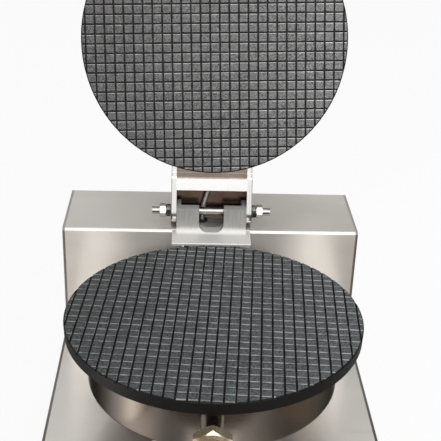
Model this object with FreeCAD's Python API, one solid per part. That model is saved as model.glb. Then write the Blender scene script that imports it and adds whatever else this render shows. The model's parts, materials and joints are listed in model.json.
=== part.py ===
import FreeCAD, Part
import math
import os

# A bench-top waffle cone maker: a stainless body with a rear tower, and two round griddle plates joined
# by a hinge on the tower. Millimetres, +Z up, +Y to the back. The origin is on the table, under the middle
# of the object with its lid open. The lid's pieces are drawn closed and then swung open about the rod.

V = FreeCAD.Vector
X = V(1, 0, 0)
Y = V(0, 1, 0)
Z = V(0, 0, 1)

# Body
body_width = 240.0
base_depth = 360.0
base_height = 95.0
tower_depth = 77.0
tower_height = 92.5
foot_height = 15.0
sheet = 1.5
side_sheet = 2.0
bend_radius = 2.5
lip_height = 12.0
panel_top_gap = 3.0
tray_flange = 25.0
hole_clearance = 0.1
cutter_past = 1.0

# Baking plates and pans
plate_radius = 104.0
plate_rim = 9.4
plate_rim_draft = 0.3
plate_edge_chamfer = 0.7
tower_gap = 21.0
plate_rise = 90.0
plate_gap = 1.0
groove_pitch = 7.44
groove_shift_y = -1.6
lower_groove_turn = -4.1
upper_groove_turn = -1.9
groove_top_width = 1.6
groove_floor_width = 0.9
groove_depth = 1.1
plate_overhang = 15.7
pan_sheet = 1.5
pan_depth = 39.8
curved_clearance = 0.05

# Inside each pan
heater_boss_gap = 6.5
heater_width = 9.0
heater_height = 7.0
heater_half_gap_degrees = 12.0
heater_round = 2.8
terminal_step_degrees = 3.0
terminal_radius = 2.5
terminal_length = 10.0
terminal_hole_clearance = 1.0
clamp_margin = 2.0
clamp_sheet = 2.0
insulation_height = 14.0
insulation_clearance = 0.6
connector_size = (44.0, 16.5, 12.0)
tie_circle_radius = 48.0
tie_radius = 3.0
tie_collar_radius = 5.5
tie_collar_height = 3.0
boss_radius = 7.0
boss_hole_depth = 10.0
boss_hole_spare = 0.5

# What carries the lower pan
spacer_radius = 8.0
conduit_radius = 30.0
conduit_wall = 1.5
wire_hole_radius = 24.0
m6_across_flats = 10.0
tie_nut_height = 5.0
tie_thread_spare = 2.0
dome_nut_base_radius = 5.6
dome_nut_radius = 4.6
dome_nut_height = 3.7
dome_nut_wall = 1.0

# Fittings on the fronts of the pans
neck_drop = 25.0
neck_length = 20.7
neck_straight = 7.0
neck_root_radius = 7.6
neck_tip_radius = 7.2
neck_tail_radius = 6.0
neck_tail_length = 6.0
front_hex_flats = 24.0
front_hex_length = 8.0
front_hex_turn = 30.0
lower_front_turn = -1.3
plug_recess_radius = 8.5
plug_recess_depth = 4.0

# Handle
handle_rod_radius = 5.0
handle_rod_bare = 16.0
grip_length = 105.0
grip_neck_radius = 10.0
grip_belly_radius = 14.0
grip_belly_at = 58.0
grip_end_radius = 11.5
grip_end_round = 5.0
grip_bore_depth = 80.0
grip_bore_spare = 1.0

# Hinge
pin_radius = 3.0
pin_half_length = 48.0
pin_setback = 11.5
pin_rise = 12.3
pin_fit = 0.05
leg_running_fit = 0.08
open_degrees = 106.66
hinge_base_width = 56.0
hinge_base_height = 20.0
hinge_wall = 7.6
hinge_wall_forward = 2.0
cheek_thickness = 3.5
cheek_depth = 16.0
cheek_corner_radius = 6.0
notch_width = 20.0
notch_floor = 0.5
notch_corner_radius = 6.0
shelf_width = 63.0
shelf_reach = 19.5
shelf_thickness = 4.0
shelf_drop = 2.0
shelf_fillet = 5.0
shelf_edge_round = 0.8
shelf_root_depth = 1.0
flange_thickness = 4.0
flange_height = 24.0
leg_gap = 0.3
leg_thickness = 4.2
leg_end_radius = 10.0
arm_roof_height = 15.0
arm_roof_thickness = 3.0
arm_side_sheet = 1.5
arm_plate_clearance = 0.5
bar_start = 17.8
bar_length = 9.5
bar_thickness = 5.0
web_reach = 4.2
arm_front_gap = 1.0
saddle_thickness = 4.5
stop_gap = 0.3
nut_gap = 0.3
lock_nut_length = 3.7
full_nut_length = 5.4
backing_half_width = 27.0
backing_gap = 1.0
backing_height = 18.0
backing_lift = 0.6
hex_face_share = 0.94
hex_chamfer_degrees = 30.0
lock_nut_turn = 30.0

# Screws
m4_radius = 2.0
m4_head_radius = 3.8
m4_head_height = 2.4
m4_length = 8.0
head_round_share = 0.4
recess_length = 4.0
recess_width = 0.9
recess_depth = 1.3
m5_radius = 2.5
m5_head_radius = 4.3
m5_head_height = 2.8
cover_screw_inset = 15.0
flange_screw_half_spacing = 20.0
flange_screw_drop = 14.0
flange_screw_length = 14.0
arm_screw_half_spacing = 18.0
arm_screw_levels = (0.0, 10.0)
arm_screw_bite_share = 0.6

# Leads
lead_radius = 2.2
lead_x = -7.2
lead_x_in_arm = 3.5
lead_above_clamp = 2.4
lead_straight = 10.0
lid_lead_bend = 20.0
lower_lead_pan_bend = 14.0
lower_lead_base_bend = 30.0
lower_lead_drop_y = 8.0
lower_lead_level = 60.0
terminal_block_size = (44.0, 24.0, 30.0)
terminal_block_drop = 32.5
grommet_hole_radius = 3.8
grommet_flange_radius = 4.6
grommet_flange = 1.5
lead_fit = 0.1
gland_x = -80.0
gland_height = 40.0
gland_thread_radius = 8.0
gland_hex_flats = 22.0
gland_hex_length = 5.0
gland_dome_radius = 9.5
gland_dome_length = 14.0
gland_dome_bevel = (3.0, 4.0)
gland_bore_radius = 4.0
gland_thread_length = 12.0
gland_nut_length = 5.0

# Feet and vents
foot_top_radius = 13.0
foot_bottom_radius = 11.0
foot_inset_x = 25.0
foot_inset_y = 35.0
foot_recess_radius = 6.0
foot_recess_depth = 6.0
foot_screw_length = 14.0
vent_length = 60.0
vent_width = 5.0
vent_pitch = 14.0
vent_column_x = 36.0
bottom_vent_count = 6
rear_vent_count = 5
rear_vent_height = 130.0

# Controls
knob_x = 62.0
control_height = 58.0
knob_skirt_radius = 20.0
knob_top_radius = 16.0
knob_skirt_height = 4.0
knob_height = 20.0
knob_gap = 1.0
knob_cavity_radius = 9.0
knob_cavity_depth = 7.0
knob_ridge_width = 7.0
knob_ridge_height = 3.0
knob_ridge_round = 1.7
knob_edge = 1.5
knob_draft = 1.0
shaft_radius = 3.0
shaft_fit = 0.06
shaft_in_knob = 16.0
shaft_end_gap = 0.5
bush_radius = 5.0
bush_length = 5.5
thermostat_size = (40.0, 30.0, 36.0)
timer_size = (46.0, 38.0, 46.0)
shaft_in_body = 12.0
probe_radius = 3.0
probe_length = 60.0
probe_x = 16.0
probe_end_y = -5.0
capillary_radius = 1.0
capillary_bend = 12.0
capillary_level = 74.0
capillary_drop_y = 12.0
capillary_slant = 50.0
switch_flange_size = (26.0, 31.0)
switch_body_size = (22.0, 27.6)
switch_cavity_size = (18.4, 25.2)
switch_flange_thickness = 2.0
switch_flange_round = 1.0
switch_body_depth = 20.0
switch_cavity_depth = 12.0
rocker_width = 17.6
rocker_half_height = 11.0
rocker_nose = 2.6
rocker_waist = 0.6
rocker_back = 5.0
rocker_back_half_height = 6.0
rocker_pivot_depth = 4.0
rocker_pin_radius = 1.5
rocker_pin_length = 1.0
rocker_pin_fit = 0.06
rocker_off_degrees = 8.0
switch_height = 48.0
lamp_x = 14.0
lamp_height = 74.0
lamp_body_radius = 5.0
lamp_flange_radius = 7.0
lamp_flange = 1.5
lamp_dome_radius = 5.5
lamp_dome_height = 3.5
lamp_body_length = 22.0

# Places worked out from the sizes above; plate_y centres the open object on the origin
plate_y = -42.0
plate_setback = base_depth - tower_depth - tower_gap - plate_radius
front_y = plate_y - plate_setback
rear_y = front_y + base_depth
tower_y = rear_y - tower_depth
floor_z = foot_height
deck_z = foot_height + base_height
tower_z = deck_z + tower_height
plate_z = deck_z + plate_rise
lid_z = plate_z + plate_gap
inner_x = body_width / 2 - side_sheet
panel_y = front_y + sheet
back_y = rear_y - sheet
tray_front_y = panel_y + sheet
tray_back_y = back_y - sheet
pin_y = tower_y + pin_setback
pin_z = tower_z + pin_rise
pin = V(0, pin_y, pin_z)
lean = math.radians(open_degrees - 90)
pan_radius = plate_radius - plate_overhang
pan_inner_radius = pan_radius - pan_sheet
heater_radius = tie_circle_radius + boss_radius + heater_boss_gap + heater_width / 2
clamp_radius = heater_radius + heater_width / 2 + clamp_margin
pan_floor = -plate_rim - pan_depth
stack_top = -plate_rim - heater_height
clamp_floor = stack_top - clamp_sheet
tie_angles = (45, 135, 225, 315)
hinge_half = hinge_base_width / 2
leg_inner = hinge_half + leg_gap
leg_outer = leg_inner + leg_thickness
arm_top = arm_roof_height + arm_roof_thickness
heel = (stop_gap - pin_rise + arm_top * math.sin(lean)) / math.cos(lean)
arm_floor = lid_z + plate_rim + arm_plate_clearance - pin_z
pan_reach = pin_y - plate_y - pan_radius
saddle_start = pan_reach - saddle_thickness
bar_end = bar_start + bar_length
backing_depth = pan_radius - clamp_radius - backing_gap
arm_screw_bite = arm_screw_bite_share * (backing_depth - pan_sheet)
lead_height_in_arm = lid_z - clamp_floor + lead_above_clamp - pin_z
lead_y = pin_y + lead_height_in_arm / math.cos(lean)
control_z = floor_z + control_height
switch_z = floor_z + switch_height
lamp_z = floor_z + lamp_height
block_top = tower_z - terminal_block_drop


# Helpers
def box(x, y, z):
    return Part.makeBox(x[1] - x[0], y[1] - y[0], z[1] - z[0], V(x[0], y[0], z[0]))


def rod(radius, start, direction, length):
    return Part.makeCylinder(radius, length, V(*start), direction)


def pipe(outer, inner, start, direction, length):
    return rod(outer, start, direction, length).cut(rod(inner, start, direction, length))


def prism(points, sweep):
    return Part.Face(Part.makePolygon(points + points[:1])).extrude(sweep)


def prism_x(outline, x):
    """An outline of (y, z) points, swept from the first x to the second."""
    return prism([V(x[0], y, z) for y, z in outline], V(x[1] - x[0], 0, 0))


def turned(outline, centre, axis):
    """A solid of revolution from (radius, height) points, standing on centre along axis."""
    face = Part.Face(Part.makePolygon([V(r, 0, h) for r, h in outline + outline[:1]]))
    solid = face.revolve(V(0, 0, 0), Z, 360)
    solid.Placement = FreeCAD.Placement(V(*centre), FreeCAD.Rotation(Z, axis))
    return solid


def dome(radius, low, height):
    """(radius, height) points of a rounded end, from its foot up to the axis."""
    angles = [math.radians(a) for a in (0, 22.5, 45, 67.5, 90)]
    return [(radius * math.cos(a) if a < math.pi / 2 else 0, low + height * math.sin(a)) for a in angles]


def fuse(shapes):
    return shapes[0].multiFuse(shapes[1:]).removeSplitter()


def cut(shape, tools):
    return shape.cut(Part.makeCompound(tools))


def both_sides(shape):
    return [shape, shape.mirror(V(0, 0, 0), X)]


def hex_bar(across_flats, start, direction, length, turn=0):
    """A hexagon bar, one flat up (or backwards, when it stands) before its turn, its end corners turned off."""
    corner = across_flats / math.sqrt(3)
    face = across_flats / 2 * hex_face_share
    wide = corner + cutter_past
    slope = (wide - face) * math.tan(math.radians(hex_chamfer_degrees))
    side = Y if direction == X else X
    up = Y if abs(direction.z) > 0.5 else Z
    angles = [math.radians(60 * i + turn) for i in range(6)]
    points = [V(*start) + side * (corner * math.cos(a)) + up * (corner * math.sin(a)) for a in angles]
    outline = [(0, 0), (face, 0), (wide, slope), (wide, length - slope), (face, length), (0, length)]
    return prism(points, direction * length).common(turned(outline, start, direction))


def nut(across_flats, bore, start, direction, length, turn=0):
    return hex_bar(across_flats, start, direction, length, turn).cut(rod(bore, start, direction, length))


def pan_head_screw(radius, head_radius, head_height, seat, inward, length):
    """A cross-head screw whose head sits on seat and whose shank runs inward."""
    rounding = head_height * head_round_share
    outline = [(0, -head_height), (head_radius - rounding, -head_height), (head_radius, rounding - head_height),
               (head_radius, 0), (radius, 0), (radius, length), (0, length)]
    screw = turned(outline, (0, 0, 0), Z)
    half_length = recess_length / 2
    half_width = recess_width / 2
    depth = (-head_height, recess_depth - head_height)
    bars = [box((-half_length, half_length), (-half_width, half_width), depth),
            box((-half_width, half_width), (-half_length, half_length), depth)]
    screw = cut(screw, [fuse(bars)])
    screw.Placement = FreeCAD.Placement(V(*seat), FreeCAD.Rotation(Z, inward))
    return screw


def round_along_x(shape, corners):
    """Fillet the edges that run along X through the given (y, z, radius) corners."""
    for y, z, radius in corners:
        edges = [e for e in shape.Edges
                 if e.BoundBox.YLength + e.BoundBox.ZLength < 0.001
                 and abs(e.CenterOfMass.y - y) + abs(e.CenterOfMass.z - z) < 0.01]
        shape = shape.makeFillet(radius, edges)
    return shape


def slot(centre, length, width, direction, depth):
    """An obround cutter along X, centred on a point and pushed along direction."""
    half = X * ((length - width) / 2)
    start = V(*centre)
    across = Y if abs(direction.z) > 0.5 else Z
    side = across * (width / 2)
    corners = [start - half - side, start + half - side, start + half + side, start - half + side]
    ends = [rod(width / 2, end, direction, depth) for end in (start - half, start + half)]
    return fuse([prism(corners, direction * depth)] + ends)


def tube_along(name, points, radius, bends):
    """A round lead along straight runs joined by tangent arcs, one bend radius for each inner point."""
    points = [V(*p) for p in points]
    edges = []
    start = points[0]
    for before, corner, after, bend in zip(points, points[1:], points[2:], bends):
        back = (before - corner).normalize()
        onward = (after - corner).normalize()
        half_turn = (math.pi - back.getAngle(onward)) / 2
        trim = bend * math.tan(half_turn)
        middle = corner + (back + onward).normalize() * (bend / math.cos(half_turn) - bend)
        edges.append(Part.LineSegment(start, corner + back * trim).toShape())
        edges.append(Part.Arc(corner + back * trim, middle, corner + onward * trim).toShape())
        start = corner + onward * trim
    edges.append(Part.LineSegment(start, points[-1]).toShape())
    path = Part.Wire(edges)
    ring = Part.Wire(Part.makeCircle(radius, points[0], points[1] - points[0]))
    solid = path.makePipeShell([ring], True, False)
    expected = math.pi * radius ** 2 * path.Length
    print(f"{name}: bend radii {list(bends)}, volume over section times length {solid.Volume / expected:.4f}")
    return solid


def arm_point(s, v):
    """(y, z) of a place on the closed lid: s forward of the hinge rod, v above it."""
    return (pin_y - s, pin_z + v)


def opened(shape):
    swung = shape.copy()
    swung.rotate(pin, X, -open_degrees)
    return swung


def on_circle(radius, degrees):
    return radius * math.cos(math.radians(degrees)), radius * math.sin(math.radians(degrees))


def save(name, shapes):
    solids = [solid for shape in shapes for solid in shape.Solids]
    if len(solids) != len(shapes) or not all(s.isValid() for s in solids):
        raise ValueError(f"{name}: {len(solids)} solids from {len(shapes)} shapes")
    (solids[0] if len(solids) == 1 else Part.makeCompound(solids)).exportStep(f"parts/{name}.step")


def save_on_base(name, *shapes):
    save(name, shapes)


def save_on_lid(name, *shapes):
    save(name, [opened(s) for s in shapes])


# Body panels
def side_panel():
    outline = [(front_y, floor_z), (rear_y, floor_z), (rear_y, tower_z), (tower_y, tower_z),
               (tower_y, deck_z), (front_y, deck_z)]
    panel = prism_x(outline, (inner_x, body_width / 2))
    corners = [(front_y, deck_z, bend_radius), (tower_y, tower_z, bend_radius), (rear_y, tower_z, bend_radius)]
    return round_along_x(panel, corners)


def screw_places():
    """Seats of the cover screws: (x, y, z, way in)."""
    x = inner_x - cover_screw_inset
    low_z = floor_z + tray_flange / 2
    places = []
    for side in (-x, x):
        places.append((side, front_y, deck_z - lip_height / 2, Y))
        places.append((side, panel_y, low_z, Y))
        places.append((side, rear_y, tower_z - lip_height / 2, -Y))
        places.append((side, back_y, low_z, -Y))
    return places


def screw_holes():
    reach = 3 * sheet + 2 * cutter_past
    return [rod(m4_radius + hole_clearance, V(x, y, z) - way * cutter_past, way, reach)
            for x, y, z, way in screw_places()]


def deck_panel():
    width = (-inner_x, inner_x)
    top = box(width, (front_y, tower_y), (deck_z - sheet, deck_z))
    lip = box(width, (front_y, front_y + sheet), (deck_z - lip_height, deck_z))
    panel = fuse([top, lip])
    inside = bend_radius - sheet
    panel = round_along_x(panel, [(front_y, deck_z, bend_radius), (panel_y, deck_z - sheet, inside)])
    holes = [rod(wire_hole_radius, (0, plate_y, deck_z - sheet), Z, sheet)]
    for angle in tie_angles:
        x, y = on_circle(tie_circle_radius, angle)
        holes.append(rod(tie_radius + hole_clearance, (x, plate_y + y, deck_z - sheet), Z, sheet))
    return cut(panel, holes + screw_holes())


def tower_cover():
    width = (-inner_x, inner_x)
    front = box(width, (tower_y, tower_y + sheet), (deck_z - lip_height, tower_z))
    top = box(width, (tower_y, rear_y), (tower_z - sheet, tower_z))
    lip = box(width, (back_y, rear_y), (tower_z - lip_height, tower_z))
    inside = bend_radius - sheet
    corners = [(tower_y, tower_z, bend_radius), (rear_y, tower_z, bend_radius),
               (tower_y + sheet, tower_z - sheet, inside), (back_y, tower_z - sheet, inside)]
    cover = round_along_x(fuse([front, top, lip]), corners)
    lead_hole = rod(grommet_hole_radius, (lead_x, lead_y, tower_z - sheet), Z, sheet)
    flange_holes = [rod(m5_radius + hole_clearance, (x, tower_y, tower_z - flange_screw_drop), Y, sheet)
                    for x in (-flange_screw_half_spacing, flange_screw_half_spacing)]
    return cut(cover, [lead_hole] + flange_holes + screw_holes())


def front_panel():
    panel = box((-inner_x, inner_x), (panel_y, tray_front_y), (floor_z, deck_z - panel_top_gap))
    holes = [rod(bush_radius + hole_clearance, (x, panel_y, control_z), Y, sheet) for x in (-knob_x, knob_x)]
    holes += [rod(lamp_body_radius + hole_clearance, (x, panel_y, lamp_z), Y, sheet) for x in (-lamp_x, lamp_x)]
    half_x = switch_body_size[0] / 2 + hole_clearance
    half_z = switch_body_size[1] / 2 + hole_clearance
    holes.append(box((-half_x, half_x), (panel_y, tray_front_y), (switch_z - half_z, switch_z + half_z)))
    return cut(panel, holes + screw_holes())


def rear_cover():
    cover = box((-inner_x, inner_x), (tray_back_y, back_y), (floor_z, tower_z - panel_top_gap))
    gland_seat = (gland_x, tray_back_y, floor_z + gland_height)
    holes = [rod(gland_thread_radius + hole_clearance, gland_seat, Y, sheet)]
    for row in range(rear_vent_count):
        height = floor_z + rear_vent_height + (row - (rear_vent_count - 1) / 2) * vent_pitch
        holes += [slot((x, tray_back_y, height), vent_length, vent_width, Y, sheet)
                  for x in (-vent_column_x, vent_column_x)]
    return cut(cover, holes + screw_holes())


def foot_places():
    x = body_width / 2 - foot_inset_x
    return [(side, y) for side in (-x, x) for y in (front_y + foot_inset_y, rear_y - foot_inset_y)]


def bottom_tray():
    width = (-inner_x, inner_x)
    floor = box(width, (tray_front_y, tray_back_y), (floor_z, floor_z + sheet))
    ends = [box(width, y, (floor_z, floor_z + tray_flange))
            for y in ((tray_front_y, tray_front_y + sheet), (tray_back_y - sheet, tray_back_y))]
    inside = bend_radius - sheet
    corners = [(tray_front_y, floor_z, bend_radius), (tray_back_y, floor_z, bend_radius),
               (tray_front_y + sheet, floor_z + sheet, inside), (tray_back_y - sheet, floor_z + sheet, inside)]
    tray = round_along_x(fuse([floor] + ends), corners)
    holes = [rod(m5_radius + hole_clearance, (x, y, floor_z), Z, sheet) for x, y in foot_places()]
    for row in range(bottom_vent_count):
        y = plate_y + (row - (bottom_vent_count - 1) / 2) * vent_pitch
        holes += [slot((x, y, floor_z), vent_length, vent_width, Z, sheet)
                  for x in (-vent_column_x, vent_column_x)]
    return cut(tray, holes + screw_holes())


def rubber_foot(x, y):
    outline = [(m5_radius + hole_clearance, foot_recess_depth), (foot_recess_radius, foot_recess_depth),
               (foot_recess_radius, 0), (foot_bottom_radius, 0), (foot_top_radius, foot_height),
               (m5_radius + hole_clearance, foot_height)]
    return turned(outline, (x, y, 0), Z)


def save_body():
    right = side_panel()
    save_on_base("right_side_panel", right)
    save_on_base("left_side_panel", right.mirror(V(0, 0, 0), X))
    save_on_base("deck_panel", deck_panel())
    save_on_base("tower_cover", tower_cover())
    save_on_base("front_panel", front_panel())
    save_on_base("rear_cover", rear_cover())
    save_on_base("bottom_tray", bottom_tray())
    screws = [pan_head_screw(m4_radius, m4_head_radius, m4_head_height, (x, y, z), way, m4_length)
              for x, y, z, way in screw_places()]
    save_on_base("cover_screws", *screws)
    save_on_base("rubber_feet", *[rubber_foot(x, y) for x, y in foot_places()])
    foot_screws = [pan_head_screw(m5_radius, m5_head_radius, m5_head_height, (x, y, foot_recess_depth), Z,
                                  foot_screw_length) for x, y in foot_places()]
    save_on_base("foot_screws", *foot_screws)


# One baking unit, drawn with its plate's face at height 0, its axis on the origin and its pan below
def baking_plate(turn):
    """A round plate whose square grid of grooves is turned a little about its axis."""
    outline = [(0, 0), (plate_radius - plate_edge_chamfer, 0), (plate_radius, -plate_edge_chamfer),
               (plate_radius - plate_rim_draft, plate_edge_chamfer - plate_rim),
               (plate_radius - plate_rim_draft - plate_edge_chamfer, -plate_rim), (0, -plate_rim)]
    plate = turned(outline, (0, 0, 0), Z)
    bosses = []
    holes = []
    for angle in tie_angles:
        x, y = on_circle(tie_circle_radius, angle)
        bosses.append(rod(boss_radius, (x, y, stack_top), Z, heater_height))
        holes.append(rod(tie_radius + pin_fit, (x, y, stack_top), Z, boss_hole_depth))
    plate = cut(fuse([plate] + bosses), holes)
    count = int(plate_radius / groove_pitch)
    places = [(i + 0.5) * groove_pitch for i in range(-count - 1, count + 1)]
    across = [groove(p + groove_shift_y, turn) for p in places]
    along = [groove(p, turn + 90) for p in places]
    return cut(cut(plate, across), along)


def groove(place, turn):
    """A cutter for one straight groove, as far from the plate's axis as place says."""
    half_top = groove_top_width / 2
    half_floor = groove_floor_width / 2
    length = 2 * (plate_radius + cutter_past)
    section = [(-half_top, 0), (-half_floor, -groove_depth), (half_floor, -groove_depth), (half_top, 0)]
    cutter = prism([V(-length / 2, place + y, z) for y, z in section], V(length, 0, 0))
    cutter.rotate(V(0, 0, 0), Z, turn)
    return cutter


def pan(front_turn):
    """A drum open at the plate, with a hole for its neck a little off the middle of its front."""
    inner_floor = pan_floor + pan_sheet
    outline = [(0, pan_floor), (pan_radius, pan_floor), (pan_radius, -plate_rim),
               (pan_inner_radius, -plate_rim), (pan_inner_radius, inner_floor), (0, inner_floor)]
    shell = turned(outline, (0, 0, 0), Z)
    edge = [e for e in shell.Edges if e.Closed and abs(e.BoundBox.ZMin - pan_floor) < 0.01
            and e.BoundBox.ZLength < 0.01 and abs(e.BoundBox.XLength - 2 * pan_radius) < 0.1]
    shell = shell.makeFillet(bend_radius, edge)
    inner_edge = [e for e in shell.Edges if e.Closed and e.BoundBox.ZLength < 0.01
                  and abs(e.BoundBox.ZMin - inner_floor) < 0.01]
    shell = shell.makeFillet(bend_radius - pan_sheet, inner_edge)
    tail_start = (0, -pan_radius - cutter_past, -neck_drop)
    tail_hole = rod(neck_tail_radius + curved_clearance, tail_start, Y, neck_tail_length)
    tail_hole.rotate(V(0, 0, 0), Z, front_turn)
    holes = [tail_hole]
    for angle in tie_angles:
        x, y = on_circle(tie_circle_radius, angle)
        holes.append(rod(tie_radius + hole_clearance, (x, y, pan_floor), Z, pan_sheet))
    return cut(shell, holes)


def heater():
    """A flattened ring with its gap at the back and a terminal pin at each end."""
    low = heater_radius - heater_width / 2
    high = heater_radius + heater_width / 2
    half = heater_half_gap_degrees
    face = Part.Face(Part.makePolygon([V(low, 0, stack_top), V(high, 0, stack_top), V(high, 0, -plate_rim),
                                       V(low, 0, -plate_rim), V(low, 0, stack_top)]))
    ring = face.revolve(V(0, 0, 0), Z, 360 - 2 * half)
    ring.rotate(V(0, 0, 0), Z, 90 + half)
    edges = [e for e in ring.Edges if e.BoundBox.ZLength < 0.001 and abs(e.BoundBox.ZMin - stack_top) < 0.001
             and e.BoundBox.XLength > heater_radius]
    ring = ring.makeFillet(heater_round, edges)
    pins = [rod(terminal_radius, (x, y, stack_top - terminal_length), Z, terminal_length + heater_height / 2)
            for x, y in terminal_places()]
    return fuse([ring] + pins)


def terminal_places():
    x, y = on_circle(heater_radius, 90 - heater_half_gap_degrees - terminal_step_degrees)
    return [(-x, y), (x, y)]


def heater_clamp():
    disc = rod(clamp_radius, (0, 0, clamp_floor), Z, clamp_sheet)
    holes = [rod(terminal_radius + terminal_hole_clearance, (x, y, clamp_floor), Z, clamp_sheet)
             for x, y in terminal_places()]
    for angle in tie_angles:
        x, y = on_circle(tie_circle_radius, angle)
        holes.append(rod(tie_radius + hole_clearance, (x, y, clamp_floor), Z, clamp_sheet))
    return cut(disc, holes)


def insulation():
    low = pan_floor + pan_sheet
    disc = rod(pan_inner_radius - insulation_clearance, (0, 0, low), Z, insulation_height)
    edge = [e for e in disc.Edges if e.Closed and abs(e.BoundBox.ZMin - low) < 0.01]
    disc = disc.makeChamfer(bend_radius - pan_sheet, edge)
    holes = [rod(wire_hole_radius, (0, 0, low), Z, insulation_height)]
    for angle in tie_angles:
        x, y = on_circle(tie_circle_radius, angle)
        holes.append(rod(tie_collar_radius, (x, y, low), Z, insulation_height))
    return cut(disc, holes)


def connector():
    """A ceramic block on the clamp's far side, drilled for the heater's terminal pins."""
    length, depth, height = connector_size
    middle = terminal_places()[0][1]
    block = box((-length / 2, length / 2), (middle - depth / 2, middle + depth / 2),
                (clamp_floor - height, clamp_floor))
    holes = [rod(terminal_radius + hole_clearance, (x, y, clamp_floor - height), Z, height)
             for x, y in terminal_places()]
    return cut(block, holes)


def tie_rod(angle, end):
    """A shoulder stud from the plate's boss, with a collar under the clamp, down to end."""
    x, y = on_circle(tie_circle_radius, angle)
    top = stack_top + boss_hole_depth - boss_hole_spare
    stud = rod(tie_radius, (x, y, end), Z, top - end)
    collar = rod(tie_collar_radius, (x, y, clamp_floor - tie_collar_height), Z, tie_collar_height)
    return fuse([stud, collar])


def neck(bore):
    """The turned stem on the front of the pan, its root shaped to the pan's wall."""
    root = -pan_radius + neck_root_radius ** 2 / pan_radius
    tip = -pan_radius - neck_length
    outline = [(bore, 0), (neck_tip_radius, 0), (neck_tip_radius, neck_straight),
               (neck_root_radius, neck_length), (neck_root_radius, root - tip), (bore, root - tip)]
    stem = turned(outline, (0, tip, -neck_drop), Y)
    stem = stem.cut(rod(pan_radius + curved_clearance, (0, 0, pan_floor), Z, pan_depth))
    tail_length = neck_length + neck_tail_length
    tail = pipe(neck_tail_radius, bore, (0, tip, -neck_drop), Y, tail_length)
    return fuse([stem, tail])


def hex_plug():
    start = (0, -pan_radius - neck_length, -neck_drop)
    front = (0, -pan_radius - neck_length - front_hex_length, -neck_drop)
    bar = hex_bar(front_hex_flats, start, -Y, front_hex_length, front_hex_turn)
    return bar.cut(rod(plug_recess_radius, front, Y, plug_recess_depth))


def lower_place(shape, turn=0):
    placed = shape.copy()
    placed.rotate(V(0, 0, 0), Z, turn)
    placed.translate(V(0, plate_y, plate_z))
    return placed


def upper_place(shape):
    placed = shape.mirror(V(0, 0, 0), Z)
    placed.translate(V(0, plate_y, lid_z))
    return placed


def save_lower_unit(plate):
    save_on_base("lower_plate", lower_place(plate))
    wire_hole = rod(wire_hole_radius, (0, 0, pan_floor), Z, pan_sheet)
    save_on_base("lower_pan", lower_place(pan(lower_front_turn).cut(wire_hole)))
    save_on_base("lower_heater", lower_place(heater()))
    save_on_base("lower_heater_clamp", lower_place(heater_clamp()))
    save_on_base("lower_insulation", lower_place(insulation()))
    save_on_base("lower_connector", lower_place(connector()))
    thread_end = deck_z - sheet - tie_nut_height - tie_thread_spare - plate_z
    save_on_base("lower_tie_rods", *[lower_place(tie_rod(a, thread_end)) for a in tie_angles])
    spacers = []
    nuts = []
    for angle in tie_angles:
        x, y = on_circle(tie_circle_radius, angle)
        foot = (x, plate_y + y, deck_z)
        spacers.append(pipe(spacer_radius, tie_radius + hole_clearance, foot, Z, plate_z + pan_floor - deck_z))
        under = (x, plate_y + y, deck_z - sheet)
        nuts.append(nut(m6_across_flats, tie_radius + pin_fit, under, -Z, tie_nut_height))
    save_on_base("pan_spacers", *spacers)
    save_on_base("lower_tie_nuts", *nuts)
    conduit = pipe(conduit_radius, conduit_radius - conduit_wall, (0, plate_y, deck_z), Z,
                   plate_z + pan_floor - deck_z)
    save_on_base("wire_conduit", conduit)
    save_on_base("lower_neck", lower_place(neck(handle_rod_radius + pin_fit), lower_front_turn))
    save_on_base("lower_hex_plug", lower_place(hex_plug(), lower_front_turn))


def dome_nut(x, y):
    """A cap nut on the outside of the upper pan."""
    bore = tie_radius + pin_fit
    bore_end = tie_nut_height + dome_nut_height - dome_nut_wall
    outline = [(bore, bore_end), (bore, 0), (dome_nut_base_radius, 0)]
    outline += dome(dome_nut_radius, tie_nut_height, dome_nut_height) + [(0, bore_end)]
    return turned(outline, (x, y, pan_floor), -Z)


def save_upper_unit(plate):
    save_on_lid("upper_plate", upper_place(plate))
    save_on_lid("upper_pan", cut(upper_place(pan(0)), arm_screw_holes(hole_clearance) + [lid_lead_hole()]))
    save_on_lid("upper_heater", upper_place(heater()))
    save_on_lid("upper_heater_clamp", upper_place(heater_clamp()))
    save_on_lid("upper_insulation", upper_place(insulation()))
    save_on_lid("upper_connector", upper_place(connector()))
    thread_end = pan_floor - tie_nut_height
    save_on_lid("upper_tie_rods", *[upper_place(tie_rod(a, thread_end)) for a in tie_angles])
    places = [on_circle(tie_circle_radius, a) for a in tie_angles]
    save_on_lid("upper_dome_nuts", *[upper_place(dome_nut(x, y)) for x, y in places])


# Handle on the upper pan
def save_handle():
    save_on_lid("upper_neck", upper_place(neck(handle_rod_radius + pin_fit)))
    tip = -pan_radius - neck_length
    hex_front = tip - front_hex_length
    lock_nut = nut(front_hex_flats, handle_rod_radius + pin_fit, (0, tip, -neck_drop), -Y, front_hex_length,
                   front_hex_turn)
    save_on_lid("handle_lock_nut", upper_place(lock_nut))
    grip_start = hex_front - handle_rod_bare
    inside = -pan_radius + neck_tail_length
    rod_length = inside - grip_start + grip_bore_depth - grip_bore_spare
    save_on_lid("handle_rod", upper_place(rod(handle_rod_radius, (0, inside, -neck_drop), -Y, rod_length)))
    save_on_lid("handle_grip", upper_place(handle_grip(grip_start)))


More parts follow.
